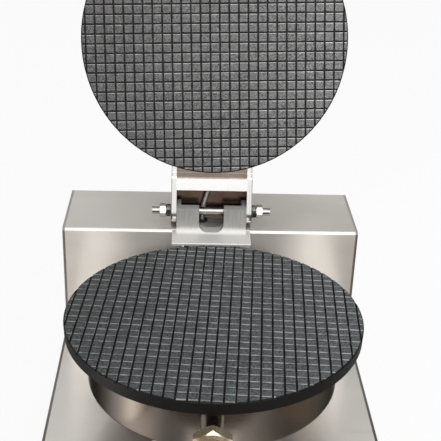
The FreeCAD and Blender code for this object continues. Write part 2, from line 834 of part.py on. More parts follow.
def handle_grip(start):
    """A barrel-shaped grip, turned from arcs, with a blind bore for the rod."""
    bore = handle_rod_radius + pin_fit
    belly = V(grip_belly_radius, 0, grip_belly_at)
    end = V(grip_end_radius, 0, grip_length - grip_end_round)
    flat = V(grip_end_radius - grip_end_round, 0, grip_length)
    knuckle = grip_end_round * math.sqrt(0.5)
    middle = V(flat.x + knuckle, 0, end.z + knuckle)
    side = Part.Arc(V(grip_neck_radius, 0, 0), belly, end).toShape()
    cap = Part.Arc(end, middle, flat).toShape()
    lines = [flat, V(0, 0, grip_length), V(0, 0, grip_bore_depth), V(bore, 0, grip_bore_depth), V(bore, 0, 0),
             V(grip_neck_radius, 0, 0)]
    outline = Part.Wire([side, cap] + [Part.LineSegment(a, b).toShape() for a, b in zip(lines, lines[1:])])
    grip = Part.Face(outline).revolve(V(0, 0, 0), Z, 360)
    grip.Placement = FreeCAD.Placement(V(0, start, -neck_drop), FreeCAD.Rotation(Z, -Y))
    return grip


# Hinge
def shelf_root(wall_front):
    """The hollow corner between the hinge base's wall and its shelf."""
    slope = shelf_drop / (shelf_reach - hinge_wall_forward)
    bend = shelf_fillet * (1 - math.sqrt(0.5))
    top = V(-hinge_half, wall_front, tower_z + shelf_fillet)
    middle = V(-hinge_half, wall_front - bend, tower_z + bend)
    front = V(-hinge_half, wall_front - shelf_fillet, tower_z - slope * shelf_fillet)
    buried = V(-hinge_half, wall_front + shelf_root_depth, tower_z - shelf_root_depth)
    behind = V(-hinge_half, wall_front + shelf_root_depth, tower_z + shelf_fillet)
    arc = Part.Arc(top, middle, front).toShape()
    runs = [Part.LineSegment(a, b).toShape() for a, b in ((front, buried), (buried, behind), (behind, top))]
    return Part.Face(Part.Wire([arc] + runs)).extrude(X * hinge_base_width)


def hinge_base():
    wall_front = tower_y - hinge_wall_forward
    wall_back = wall_front + hinge_wall
    top = tower_z + hinge_base_height
    half = hinge_half
    wall = box((-half, half), (wall_front, wall_back), (tower_z, top))
    cheek = box((half - cheek_thickness, half), (wall_front, wall_back + cheek_depth), (tower_z, top))
    cheek = round_along_x(cheek, [(wall_back + cheek_depth, top, cheek_corner_radius)])
    shelf_half = shelf_width / 2
    shelf_front = tower_y - shelf_reach
    shelf_outline = [(tower_y, tower_z), (wall_front, tower_z), (shelf_front, tower_z - shelf_drop),
                     (shelf_front, tower_z - shelf_thickness),
                     (tower_y - flange_thickness, tower_z - shelf_thickness),
                     (tower_y - flange_thickness, tower_z - flange_height), (tower_y, tower_z - flange_height)]
    shelf = prism_x(shelf_outline, (-shelf_half, shelf_half))
    shelf = round_along_x(shelf, [(shelf_front, tower_z - shelf_drop, shelf_edge_round)])
    casting = fuse([wall, shelf, shelf_root(wall_front)] + both_sides(cheek))
    notch_half = notch_width / 2
    notch_low = tower_z + notch_floor
    notch = box((-notch_half, notch_half), (wall_front - shelf_fillet - cutter_past, wall_back + cutter_past),
                (notch_low, top + cutter_past))
    corners = [e for e in notch.Edges
               if e.BoundBox.YLength > hinge_wall and e.BoundBox.ZMax < notch_low + cutter_past]
    notch = notch.makeFillet(notch_corner_radius, corners)
    holes = [notch, rod(pin_radius + pin_fit, (-half, pin_y, pin_z), X, hinge_base_width)]
    holes += [rod(m5_radius + hole_clearance, (x, tower_y - flange_thickness, tower_z - flange_screw_drop), Y,
                  flange_thickness) for x in (-flange_screw_half_spacing, flange_screw_half_spacing)]
    return cut(casting, holes)


def hinge_arm():
    def leg_outline():
        back = Part.LineSegment(V(0, *arm_point(-leg_end_radius, 0)), V(0, *arm_point(heel, arm_top)))
        turn = math.radians(225)
        middle = arm_point(leg_end_radius * math.cos(turn), leg_end_radius * math.sin(turn))
        end = Part.Arc(V(0, *arm_point(0, -leg_end_radius)), V(0, *middle),
                       V(0, *arm_point(-leg_end_radius, 0)))
        places = [(heel, arm_top), (bar_end, arm_top), (bar_end, -leg_end_radius), (0, -leg_end_radius)]
        points = [V(0, *arm_point(s, v)) for s, v in places]
        runs = [Part.LineSegment(a, b) for a, b in zip(points, points[1:])]
        return Part.Face(Part.Wire([e.toShape() for e in [end, back] + runs]))

    far = pan_reach + pan_radius - math.sqrt(pan_radius ** 2 - leg_outer ** 2)
    leg = leg_outline().extrude(X * leg_thickness)
    leg.translate(X * leg_inner)

    def block(x, s, v):
        return box(x, (pin_y - s[1], pin_y - s[0]), (pin_z + v[0], pin_z + v[1]))

    across = (-leg_outer, leg_outer)
    roof = block(across, (heel, far), (arm_roof_height, arm_top))
    bar_back = bar_thickness - leg_end_radius
    bar = block(across, (bar_start, bar_end), (-leg_end_radius, bar_back))
    web = block(across, (bar_end - arm_side_sheet, bar_end + web_reach), (bar_back, bar_back + arm_side_sheet))
    side = block((leg_outer - arm_side_sheet, leg_outer), (bar_end - arm_side_sheet, far), (arm_floor, arm_top))
    front_end = saddle_start - m5_head_height - arm_front_gap
    front = block(across, (bar_end - arm_side_sheet, front_end), (arm_floor, arm_floor + arm_side_sheet))
    saddle = block(across, (saddle_start, far), (arm_floor, arm_top))
    arm = fuse([roof, bar, web, front, saddle] + both_sides(leg) + both_sides(side))
    heel_wedge = prism_x([arm_point(heel, arm_top), arm_point(-leg_end_radius, arm_top),
                          arm_point(-leg_end_radius, 0)], across)
    tools = [rod(pan_radius + curved_clearance, (0, plate_y, lid_z), Z, pan_depth + plate_rim), heel_wedge]
    tools.append(rod(pin_radius + leg_running_fit, (-leg_outer, pin_y, pin_z), X, 2 * leg_outer))
    return cut(arm, tools + arm_screw_holes(hole_clearance) + [lid_lead_hole()])


def arm_screw_places():
    return [(x, pin_z + v) for x in (-arm_screw_half_spacing, arm_screw_half_spacing) for v in arm_screw_levels]


def arm_screw_holes(clearance):
    reach = saddle_thickness + backing_depth + cutter_past
    return [rod(m5_radius + clearance, (x, pin_y - saddle_start, z), -Y, reach) for x, z in arm_screw_places()]


def lid_lead_hole():
    start = (lead_x_in_arm, pin_y - saddle_start, pin_z + lead_height_in_arm)
    return rod(grommet_hole_radius, start, -Y, saddle_thickness + backing_depth + cutter_past)


def backing_block():
    low = pin_z + arm_floor + backing_lift
    back = pin_y - pan_reach
    block = box((-backing_half_width, backing_half_width), (back - backing_depth, back),
                (low, low + backing_height))
    inside = rod(pan_inner_radius - curved_clearance, (0, plate_y, low), Z, backing_height)
    return cut(block.common(inside), arm_screw_holes(pin_fit) + [lid_lead_hole()])


def save_hinge():
    save_on_base("hinge_base", hinge_base())
    seats = [(x, tower_y - flange_thickness, tower_z - flange_screw_drop)
             for x in (-flange_screw_half_spacing, flange_screw_half_spacing)]
    save_on_base("hinge_base_screws", *[pan_head_screw(m5_radius, m5_head_radius, m5_head_height, seat, Y,
                                                       flange_screw_length) for seat in seats])
    save_on_base("hinge_rod", rod(pin_radius, (-pin_half_length, pin_y, pin_z), X, 2 * pin_half_length))
    bore = pin_radius + pin_fit
    first = leg_outer + nut_gap
    lock_nut = nut(m6_across_flats, bore, (first, pin_y, pin_z), X, lock_nut_length, lock_nut_turn)
    full_nut = nut(m6_across_flats, bore, (first + lock_nut_length, pin_y, pin_z), X, full_nut_length)
    save_on_base("hinge_lock_nuts", *both_sides(lock_nut))
    save_on_base("hinge_nuts", *both_sides(full_nut))
    save_on_lid("hinge_arm", hinge_arm())
    screw_length = saddle_thickness + pan_sheet + arm_screw_bite
    screws = [pan_head_screw(m5_radius, m5_head_radius, m5_head_height, (x, pin_y - saddle_start, z), -Y,
                             screw_length) for x, z in arm_screw_places()]
    save_on_lid("arm_screws", *screws)
    save_on_lid("arm_backing_block", backing_block())


# Leads and what they pass through
def lid_lead():
    """From the terminal block, up behind the hinge rod, along the open arm to the upper connector."""
    bend_point = (lead_x, lead_y, pin_z)
    block_back = plate_y + terminal_places()[0][1] + connector_size[1] / 2
    level = pin_z + lead_height_in_arm
    swing = FreeCAD.Placement(V(0, 0, 0), FreeCAD.Rotation(X, -open_degrees), pin)
    before_hole = swing.multVec(V(lead_x_in_arm, pin_y - saddle_start + lead_straight, level))
    end = swing.multVec(V(lead_x_in_arm, block_back, level))
    points = [(lead_x, lead_y, block_top), bend_point, tuple(before_hole), tuple(end)]
    return tube_along("lid_lead", points, lead_radius, [lid_lead_bend, lid_lead_bend])


def lower_lead():
    """From the lower connector, down the conduit, back through the base and up to the terminal block."""
    connector_front = plate_y + terminal_places()[0][1] - connector_size[1] / 2
    connector_z = plate_z + clamp_floor - connector_size[2] / 2
    drop_y = plate_y + lower_lead_drop_y
    rise_y = tower_y + sheet + terminal_block_size[1] / 2
    points = [(0, connector_front, connector_z), (0, drop_y, connector_z), (0, drop_y, lower_lead_level),
              (0, rise_y, lower_lead_level), (0, rise_y, block_top - terminal_block_size[2])]
    bends = [lower_lead_pan_bend, lower_lead_base_bend, lower_lead_base_bend]
    return tube_along("lower_lead", points, lead_radius, bends)


def grommet(seat, axis, wall):
    """A rubber ring with a flange on each side of a wall that starts at seat."""
    bore = lead_radius + lead_fit
    neck_radius = grommet_hole_radius - pin_fit
    outline = [(bore, -grommet_flange), (grommet_flange_radius, -grommet_flange), (grommet_flange_radius, 0),
               (neck_radius, 0), (neck_radius, wall), (bore, wall)]
    return turned(outline, seat, axis)


def cable_gland():
    """The inlet of the mains lead: a hexagon and a domed cap outside, a thread through the rear cover."""
    seat = (gland_x, back_y, floor_z + gland_height)
    body = hex_bar(gland_hex_flats, seat, Y, gland_hex_length)
    inward, along = gland_dome_bevel
    cap_outline = [(0, 0), (gland_dome_radius, 0), (gland_dome_radius, gland_dome_length - along),
                   (gland_dome_radius - inward, gland_dome_length), (0, gland_dome_length)]
    inner_end = (gland_x, back_y - gland_thread_length, seat[2])
    thread = rod(gland_thread_radius, inner_end, Y, gland_thread_length + gland_hex_length)
    gland = fuse([body, turned(cap_outline, seat, Y), thread])
    return gland.cut(rod(gland_bore_radius, inner_end, Y, gland_thread_length + gland_dome_length))


def save_leads():
    length, depth, height = terminal_block_size
    inside_y = tower_y + sheet
    block = box((-length / 2, length / 2), (inside_y, inside_y + depth), (block_top - height, block_top))
    save_on_base("terminal_block", block)
    save_on_base("lid_lead", lid_lead())
    save_on_base("lower_lead", lower_lead())
    save_on_base("tower_grommet", grommet((lead_x, lead_y, tower_z), -Z, sheet + grommet_flange))
    arm_seat = (lead_x_in_arm, pin_y - saddle_start, pin_z + lead_height_in_arm)
    save_on_lid("pan_grommet", grommet(arm_seat, -Y, saddle_thickness + pan_sheet))
    save_on_base("cable_gland", cable_gland())
    inside = (gland_x, tray_back_y, floor_z + gland_height)
    gland_nut = nut(gland_hex_flats, gland_thread_radius + pin_fit, inside, -Y, gland_nut_length)
    save_on_base("gland_lock_nut", gland_nut)


# Controls on the front panel
def control_body(x, size):
    """A control behind the panel, its threaded bush through the panel and a bore for its shaft."""
    width, depth, height = size
    case = box((x - width / 2, x + width / 2), (tray_front_y, tray_front_y + depth),
               (control_z - height / 2, control_z + height / 2))
    bush_start = (x, panel_y - bush_length, control_z)
    bush = rod(bush_radius, bush_start, Y, bush_length + sheet + shaft_in_body)
    bore = rod(shaft_radius + shaft_fit, bush_start, Y, bush_length + sheet + shaft_in_body + shaft_end_gap)
    return fuse([case, bush]).cut(bore)


def control_shaft(x):
    front = panel_y - knob_gap - shaft_in_knob
    return rod(shaft_radius, (x, front, control_z), Y, shaft_in_knob + knob_gap + sheet + shaft_in_body)


def knob(x):
    """A skirted knob with a finger ridge across its face, pointing up at rest."""
    skirt = knob_skirt_radius
    outline = [(0, 0), (skirt, 0), (skirt, knob_skirt_height - knob_edge),
               (skirt - knob_edge, knob_skirt_height), (knob_top_radius + knob_draft, knob_skirt_height),
               (knob_top_radius, knob_height - knob_edge), (knob_top_radius - knob_edge, knob_height),
               (0, knob_height)]
    body = turned(outline, (x, panel_y - knob_gap, control_z), -Y)
    face_y = panel_y - knob_gap - knob_height
    reach = knob_top_radius - knob_edge
    ridge = box((x - knob_ridge_width / 2, x + knob_ridge_width / 2),
                (face_y - knob_ridge_height, face_y + knob_edge), (control_z - reach, control_z + reach))
    edges = [e for e in ridge.Edges if e.BoundBox.YMax < face_y and e.BoundBox.YLength < 0.01]
    ridge = ridge.makeFillet(knob_ridge_round, edges)
    cavity = rod(knob_cavity_radius, (x, panel_y - knob_gap, control_z), -Y, knob_cavity_depth)
    bore = rod(shaft_radius + pin_fit, (x, panel_y - knob_gap, control_z), -Y, shaft_in_knob + shaft_end_gap)
    return cut(fuse([body, ridge]), [cavity, bore])


def switch_housing():
    """A snap-in rocker switch: a flange outside, a body through the panel and an open front."""
    def centred(size, y):
        return box((-size[0] / 2, size[0] / 2), y, (switch_z - size[1] / 2, switch_z + size[1] / 2))

    flange_y = panel_y - switch_flange_thickness
    flange = centred(switch_flange_size, (flange_y, panel_y))
    edges = [e for e in flange.Edges if e.BoundBox.YMax < flange_y + 0.01]
    flange = flange.makeFillet(switch_flange_round, edges)
    body = centred(switch_body_size, (panel_y - switch_flange_round, panel_y + switch_body_depth))
    cavity = centred(switch_cavity_size, (flange_y, flange_y + switch_cavity_depth))
    reach = rocker_width / 2 + rocker_pin_length + rocker_pin_fit
    pivot_start = (-reach, flange_y + rocker_pivot_depth, switch_z)
    pivots = rod(rocker_pin_radius + rocker_pin_fit, pivot_start, X, 2 * reach)
    return cut(fuse([flange, body]), [cavity, pivots])


def power_rocker():
    """A rocker with two sloping faces and a pivot stub on each side, tipped to off."""
    face_y = panel_y - switch_flange_thickness
    pivot_y = face_y + rocker_pivot_depth
    outline = [(face_y - rocker_nose, switch_z + rocker_half_height),
               (face_y - rocker_waist, switch_z),
               (face_y - rocker_nose, switch_z - rocker_half_height),
               (pivot_y, switch_z - rocker_half_height),
               (pivot_y + rocker_back, switch_z - rocker_back_half_height),
               (pivot_y + rocker_back, switch_z + rocker_back_half_height),
               (pivot_y, switch_z + rocker_half_height)]
    half = rocker_width / 2
    paddle = prism_x(outline, (-half, half))
    reach = half + rocker_pin_length
    stubs = rod(rocker_pin_radius, (-reach, pivot_y, switch_z), X, 2 * reach)
    rocker = fuse([paddle, stubs])
    rocker.rotate(V(0, pivot_y, switch_z), X, -rocker_off_degrees)
    return rocker


def lamp(x):
    """A neon lamp moulded in one piece: a domed lens, a flange and a body through the panel."""
    outline = [(0, -lamp_body_length), (lamp_body_radius, -lamp_body_length), (lamp_body_radius, 0),
               (lamp_flange_radius, 0), (lamp_flange_radius, lamp_flange)]
    outline += dome(lamp_dome_radius, lamp_flange, lamp_dome_height)
    return turned(outline, (x, panel_y, lamp_z), -Y)


def thermostat_probe():
    """A copper bulb under the heater clamp, and its capillary down the conduit to the thermostat."""
    bulb_z = plate_z + clamp_floor - probe_radius - curved_clearance
    bulb_end = plate_y + probe_end_y
    bulb = rod(probe_radius, (probe_x, bulb_end - probe_length, bulb_z), Y, probe_length)
    drop_y = plate_y + capillary_drop_y
    case_back = tray_front_y + thermostat_size[1]
    points = [(probe_x, bulb_end, bulb_z), (probe_x, drop_y, bulb_z), (probe_x, drop_y, capillary_level),
              (knob_x, drop_y - capillary_slant, capillary_level), (knob_x, case_back, capillary_level)]
    tail = tube_along("thermostat_probe", points, capillary_radius, [capillary_bend] * 3)
    return fuse([bulb, tail])


def save_controls():
    save_on_base("thermostat_body", control_body(knob_x, thermostat_size))
    save_on_base("timer_body", control_body(-knob_x, timer_size))
    save_on_base("thermostat_shaft", control_shaft(knob_x))
    save_on_base("timer_shaft", control_shaft(-knob_x))
    save_on_base("thermostat_knob", knob(knob_x))
    save_on_base("timer_knob", knob(-knob_x))
    save_on_base("switch_housing", switch_housing())
    save_on_base("power_rocker", power_rocker())
    save_on_base("power_lamp", lamp(-lamp_x))
    save_on_base("heat_lamp", lamp(lamp_x))
    save_on_base("thermostat_probe", thermostat_probe())


os.makedirs("parts", exist_ok=True)
save_body()
save_lower_unit(baking_plate(lower_groove_turn))
save_upper_unit(baking_plate(upper_groove_turn))
save_handle()
save_hinge()
save_leads()
save_controls()
print(f"hinge rod at y {pin_y:.2f}, z {pin_z:.2f}; plate axis at y {plate_y:.2f}; knobs at z {control_z:.2f}")
print(f"rocker pivot at y {panel_y - switch_flange_thickness + rocker_pivot_depth:.2f}, z {switch_z:.2f}")
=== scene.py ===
# %% [markdown]
# # A waffle cone maker
# The machine is a stainless base with a tower at its back, and two round griddle plates that close on each
# other like a book. Its solid model comes ready packed, at its real size in metres. This lesson gives every
# surface its finish, makes the few pieces that are too soft or too fine for the solid model, and puts the
# machine in a plain bright studio.

# %% Load the solid model
import json
import math

import bmesh
import bpy
from mathutils import Matrix, Vector
from mathutils.bvhtree import BVHTree


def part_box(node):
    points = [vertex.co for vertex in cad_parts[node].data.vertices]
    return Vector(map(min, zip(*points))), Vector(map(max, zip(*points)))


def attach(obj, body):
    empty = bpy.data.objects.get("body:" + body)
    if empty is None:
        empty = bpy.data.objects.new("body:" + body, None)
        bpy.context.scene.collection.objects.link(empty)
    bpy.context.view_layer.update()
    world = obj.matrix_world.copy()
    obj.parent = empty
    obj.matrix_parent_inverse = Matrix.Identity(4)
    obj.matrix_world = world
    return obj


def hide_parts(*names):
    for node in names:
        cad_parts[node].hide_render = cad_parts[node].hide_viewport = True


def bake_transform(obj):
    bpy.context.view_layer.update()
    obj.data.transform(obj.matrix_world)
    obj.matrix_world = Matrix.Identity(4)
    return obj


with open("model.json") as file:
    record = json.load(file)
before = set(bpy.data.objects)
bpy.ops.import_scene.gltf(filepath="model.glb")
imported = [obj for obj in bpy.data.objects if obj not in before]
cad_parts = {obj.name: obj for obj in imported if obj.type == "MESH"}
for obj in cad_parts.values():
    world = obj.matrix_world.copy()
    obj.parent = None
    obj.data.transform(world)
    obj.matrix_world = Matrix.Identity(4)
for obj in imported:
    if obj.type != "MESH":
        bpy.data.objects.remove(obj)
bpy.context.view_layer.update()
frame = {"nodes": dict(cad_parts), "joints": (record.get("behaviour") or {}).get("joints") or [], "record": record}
nodes = frame["nodes"]
scene = bpy.context.scene
scene.view_settings.view_transform = "Standard"

# %% [markdown]
# Every place in this lesson is worked out from the model itself, so nothing here has to be fitted by eye.
# The two plate faces matter most. The lower one lies level. The upper one is its twin, turned up and back
# about the hinge rod by the angle that the lid opens.

# %% Landmarks
mm = 0.001
plate_gap = 1.0 * mm
joint_at = {joint["name"]: Vector(joint["pos_m"]) for joint in frame["joints"]}
hinge_rod = joint_at["lid_hinge"]
hinge = next(joint for joint in frame["joints"] if joint["name"] == "lid_hinge")
open_angle = math.radians(hinge["range_deg"][1])
plate_low, plate_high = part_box("lower_plate")
lower_face = Vector(((plate_low.x + plate_high.x) / 2, (plate_low.y + plate_high.y) / 2, plate_high.z))
plate_radius = (plate_high.x - plate_low.x) / 2
closed_face = lower_face + Vector((0, 0, plate_gap))
lid_swing = Matrix.Rotation(-open_angle, 3, "X")
upper_face = hinge_rod + lid_swing @ (closed_face - hinge_rod)
upper_tilt = math.pi - open_angle
panel_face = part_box("front_panel")[0].y
print("plate faces at", [round(v, 4) for v in lower_face], [round(v, 4) for v in upper_face])

# %% [markdown]
# ## The camera
# The photograph looks down on the machine from the front. The round plates and the straight edges of the
# tower fix where its camera stood, so the camera is placed from the middle of the lower plate in
# millimetres. A small lens shift stands for the crop, because the picture's middle is a little above the
# lens axis.

# %% Camera
camera_offset = Vector((-21.7, -585.5, 355.0)) * mm
camera_down = math.radians(26.436)
camera_turn = math.radians(-2.373)
camera_roll = math.radians(1.974)
camera_data = bpy.data.cameras.new("camera")
camera_data.lens = 79.94
camera_data.shift_y = 0.0259
camera = bpy.data.objects.new("camera", camera_data)
level_camera = Matrix.Rotation(math.radians(90) - camera_down, 3, "X")
aim = Matrix.Rotation(camera_turn, 3, "Z") @ level_camera @ Matrix.Rotation(camera_roll, 3, "Z")
camera.location = lower_face + camera_offset
camera.rotation_euler = aim.to_euler()
scene.collection.objects.link(camera)
scene.camera = camera
print("camera at", tuple(round(v, 3) for v in camera.location))

# %% [markdown]
# ## Helpers for materials and meshes
# A colour is picked as an sRGB hex value, as on a paint chart, but shaders work with linear light, so one
# function converts it. The next one sets or connects a node's inputs, and a small one that uses it adds a
# node. The last two start a material and turn a finished bmesh into an object.

# %% Helpers
def linear(hex_colour):
    """The linear RGBA of an sRGB hex colour such as "#c8c8c8"."""
    parts = [int(hex_colour[i:i + 2], 16) / 255 for i in (1, 3, 5)]
    return [p / 12.92 if p <= 0.04045 else ((p + 0.055) / 1.055) ** 2.4 for p in parts] + [1.0]


def set_inputs(node, inputs):
    """Sets a node's inputs. Each takes a value, an output socket, or a node, whose first output is used."""
    for name, value in inputs.items():
        if isinstance(value, bpy.types.Node):
            value = next(output for output in value.outputs if output.enabled)
        if isinstance(value, bpy.types.NodeSocket):
            node.id_data.links.new(value, node.inputs[name])
        else:
            node.inputs[name].default_value = value


def add(tree, kind, inputs=None, **options):
    """Adds a shader node with its options and inputs."""
    node = tree.nodes.new("ShaderNode" + kind)
    for name, value in options.items():
        setattr(node, name, value)
    set_inputs(node, inputs or {})
    return node


def new_finish(name, **sockets):
    """A material, its node tree, its shader with the named sockets set, and the place of each point."""
    material = bpy.data.materials.new(name)
    material.use_nodes = True
    tree = material.node_tree
    shader = tree.nodes["Principled BSDF"]
    set_inputs(shader, {socket.replace("_", " "): value for socket, value in sockets.items()})
    return material, tree, shader, add(tree, "TexCoord").outputs["Object"]


def new_piece(name, shape, material, smooth=False):
    """An object at the origin from a finished bmesh."""
    mesh = bpy.data.meshes.new(name)
    shape.to_mesh(mesh)
    shape.free()
    mesh.materials.append(material)
    for polygon in mesh.polygons:
        polygon.use_smooth = smooth
    piece = bpy.data.objects.new(name, mesh)
    scene.collection.objects.link(piece)
    return piece


# %% [markdown]
# ## The studio
# The world is white to the camera and in reflections, so steel shows a bright room. For soft bounce light it
# is dimmer, which leaves the shading to the softboxes. The Light Path node tells these rays apart.

# %% World
room_light = 0.5
white = (1.0, 1.0, 1.0, 1.0)


def seen_or_mirrored(tree):
    """1 for rays from the camera and for mirrored or refracted ones, 0 for soft bounce light."""
    rays = add(tree, "LightPath").outputs
    mirrored = add(tree, "Math", {0: rays["Is Glossy Ray"], 1: rays["Is Transmission Ray"]},
                   operation="MAXIMUM")
    return add(tree, "Math", {0: rays["Is Camera Ray"], 1: mirrored}, operation="MAXIMUM")


world = bpy.data.worlds.new("studio")
world.use_nodes = True
scene.world = world
tree = world.node_tree
tree.nodes.clear()
lighting = add(tree, "Background", {"Color": white, "Strength": room_light})
backdrop = add(tree, "Background", {"Color": white, "Strength": 1.0})
both = add(tree, "MixShader", {0: seen_or_mirrored(tree), 1: lighting, 2: backdrop})
add(tree, "OutputWorld", {"Surface": both})
print("white world,", room_light, "for bounce light")

# %% [markdown]
# The floor is white paper that shines in the same way. One tenth of what is seen of it is plain paper, which
# takes the machine's soft shadow.

# %% Floor
floor_half = 8.0
floor_glow = 0.9


def bare_material(name):
    """A material without any nodes yet, and its node tree."""
    material = bpy.data.materials.new(name)
    material.use_nodes = True
    material.node_tree.nodes.clear()
    return material, material.node_tree


floor_paper, tree = bare_material("white paper sweep")
glow = add(tree, "Math", {0: seen_or_mirrored(tree), 1: floor_glow}, operation="MULTIPLY")
paper = add(tree, "BsdfDiffuse", {"Color": linear("#f4f4f4")})
lit = add(tree, "Emission", {"Color": white, "Strength": 1.0})
both = add(tree, "MixShader", {0: glow, 1: paper, 2: lit})
add(tree, "OutputMaterial", {"Surface": both})
shape = bmesh.new()
bmesh.ops.create_grid(shape, x_segments=1, y_segments=1, size=floor_half)
floor = new_piece("floor", shape, floor_paper)
print("floor of", 2 * floor_half, "m")

# %% [markdown]
# Polished steel in an all-white room looks like plaster. Photographers stand cards round it, out of the
# picture, so that it mirrors something darker as well. Here a card is one face that shines with its own
# colour and that only mirrored rays see, so it tints the steel and leaves the light on everything else
# alone.

# %% Reflection cards
def card(name, corners, material):
    """A flat card that only mirrored rays see."""
    shape = bmesh.new()
    shape.faces.new([shape.verts.new(corner) for corner in corners])
    piece = new_piece(name, shape, material)
    piece.visible_camera = False
    piece.visible_diffuse = False
    piece.visible_shadow = False


def shine(tree, colour, strength=1.0):
    """Makes a card shine with its own colour."""
    emission = add(tree, "Emission", {"Color": colour, "Strength": strength})
    add(tree, "OutputMaterial", {"Surface": emission})


def hump(tree, value, middle, half_width, peak, foot):
    """The peak where a value is at the middle, and a smooth fall to the foot on both sides of it."""
    off = add(tree, "Math", {0: value, 1: middle}, operation="SUBTRACT")
    off = add(tree, "Math", {0: off}, operation="ABSOLUTE")
    return add(tree, "MapRange", {"Value": off, "From Max": half_width, "To Min": peak,
                                  "To Max": foot}, interpolation_type="SMOOTHSTEP")


# %% [markdown]
# The card on the floor gives the round pan its shading. A cylinder mirrors the floor all round, so the
# card's colour changes with the bearing from the pan, 0 degrees being straight in front and -90 the left:
# brown in front, grey behind, and one bright sector at the left that draws a pale streak down the pan. At
# its edge the card fades to the white of the floor.

# %% Card on the floor
floor_card_reach = 0.5
floor_card_fade = 0.36
floor_card_lift = 1.0 * mm
floor_card_colours = [(-180, "#6b6d6a"), (-140, "#6b6d6a"), (-112, "#6e6d6a"), (-98, "#a09d98"),
                      (-84, "#f2eeea"), (-66, "#fff6ee"), (-58, "#d8c8bc"), (-49, "#5a483e"), (0, "#4a3830"),
                      (45, "#7d6657"), (80, "#96897a"), (105, "#979a94"), (130, "#8a8d89"), (180, "#6b6d6a")]
streak_bearing = math.radians(-66)
streak_spread = math.radians(18)
streak_gain = 2.2
floor_tint, tree = bare_material("shaded floor card")
place = add(tree, "TexCoord").outputs["Object"]
about_pan = add(tree, "Mapping", {"Vector": place, "Location": lower_face}, vector_type="TEXTURE")
flat = add(tree, "VectorMath", {0: about_pan, 1: (1, 1, 0)}, operation="MULTIPLY")
reach = add(tree, "VectorMath", {0: flat}, operation="LENGTH")
aside = add(tree, "SeparateXYZ", {0: about_pan}).outputs
forward = add(tree, "Math", {0: aside["Y"], 1: -1.0}, operation="MULTIPLY")
bearing = add(tree, "Math", {0: aside["X"], 1: forward}, operation="ARCTAN2")
turn = add(tree, "MapRange", {"Value": bearing, "From Min": -math.pi, "From Max": math.pi})
ramp = add(tree, "ValToRGB", {0: turn})
stops = ramp.color_ramp.elements
while len(stops) < len(floor_card_colours):
    stops.new(0.5)
for stop, (degrees, colour) in zip(stops, floor_card_colours):
    stop.position = (degrees + 180) / 360
    stop.color = linear(colour)
fade = add(tree, "MapRange", {"Value": reach, "From Min": floor_card_fade, "From Max": floor_card_reach})
tint = add(tree, "Mix", {0: fade, 6: ramp, 7: white}, data_type="RGBA")
gain = hump(tree, bearing, streak_bearing, streak_spread, peak=streak_gain, foot=1.0)
shine(tree, tint, gain)
under_pan = Vector((lower_face.x, lower_face.y, floor_card_lift))
card("floor_card", [under_pan + Vector((x, y, 0)) * floor_card_reach
                    for x, y in ((-1, -1), (1, -1), (1, 1), (-1, 1))], floor_tint)
print("floor card with", len(stops), "colours")

# %% [markdown]
# Two low flags at the sides draw dark lines along the arm and the nuts. A grey card behind the machine
# keeps the tower's top a tone below the deck. It is taller on the right, where the top is darker. Tall
# flags round the machine are mirrored by the deck, and from there by the pan, so the front ones are brown
# and the rear ones grey.

# %% Flags
flag_paper, tree = bare_material("dark flag")
shine(tree, linear("#7d7873"))
flag_x = 0.9
flag_half = 0.45
flag_top = 0.42
for name, x in (("flag_left", -flag_x), ("flag_right", flag_x)):
    card(name, [(x, -flag_half, 0), (x, flag_half, 0), (x, flag_half, flag_top), (x, -flag_half, flag_top)],
         flag_paper)

rear_paper, tree = bare_material("grey rear card")
shine(tree, linear("#b8b6b3"))
rear_y = 1.0
rear_half = 1.2
rear_step = 0.3
rear_low = 0.90
rear_high = 1.45
rear_outline = [(-rear_half, 0.0), (rear_half, 0.0), (rear_half, rear_high), (rear_step, rear_high),
                (0.0, rear_low), (-rear_half, rear_low)]
card("rear_card", [(x, rear_y, z) for x, z in rear_outline], rear_paper)

# Each tall flag: its colour, the height of its foot, and the places of its two ends on the floor plan
tall_top = 1.1
tall_flags = {
    "brown_flag_left": ("#3a2b23", 0.1, (-0.34, -1.0), (-0.72, -0.72)),
    "brown_flag_right": ("#5c4636", 0.1, (0.34, -1.0), (0.80, -0.60)),
    "grey_flag_side": ("#6b685c", 0.3, (0.80, -0.60), (1.05, 0.15)),
    "grey_flag_right": ("#6a706b", 0.72, (0.90, 0.30), (0.36, 0.95)),
    "grey_flag_left": ("#434743", 0.72, (-0.90, 0.30), (-0.36, 0.95)),
}
for name, (colour, low, (x, y), (x2, y2)) in tall_flags.items():
    paper, tree = bare_material(name)
    shine(tree, linear(colour))
    card(name, [(x, y, low), (x2, y2, low), (x2, y2, tall_top), (x, y, tall_top)], paper)
print(len(tall_flags), "tall flags, two low ones and a rear card")

# %% [markdown]
# A bright card high at the left is mirrored by the deck into the pan, where it carries the pale streak on
# down to the pan's foot. It is brightest along its middle and fades to both ends, so the streak has soft
# sides.

# %% Bright card
streak_x = -0.9
streak_y = -0.27
streak_half = 0.36
streak_low = 0.6
streak_glow = 5.0
streak_end_glow = 0.15
streak_paper, tree = bare_material("bright side card")
place = add(tree, "TexCoord").outputs["Object"]
along = add(tree, "SeparateXYZ", {0: place}).outputs["Y"]
glow = hump(tree, along, streak_y, streak_half, peak=streak_glow, foot=streak_end_glow)
shine(tree, linear("#fff6f0"), glow)
ends = (streak_y - streak_half, streak_y + streak_half)
card("streak_card", [(streak_x, ends[0], streak_low), (streak_x, ends[1], streak_low),
                     (streak_x, ends[1], tall_top), (streak_x, ends[0], tall_top)], streak_paper)
print("bright card from", streak_low, "to", tall_top, "m")

# %% [markdown]
# Two softboxes light the machine. The one overhead gives the soft shadows under the nuts and the pan. The
# wide one in front fills the upper plate, and the deck mirrors it into the front of the tower.

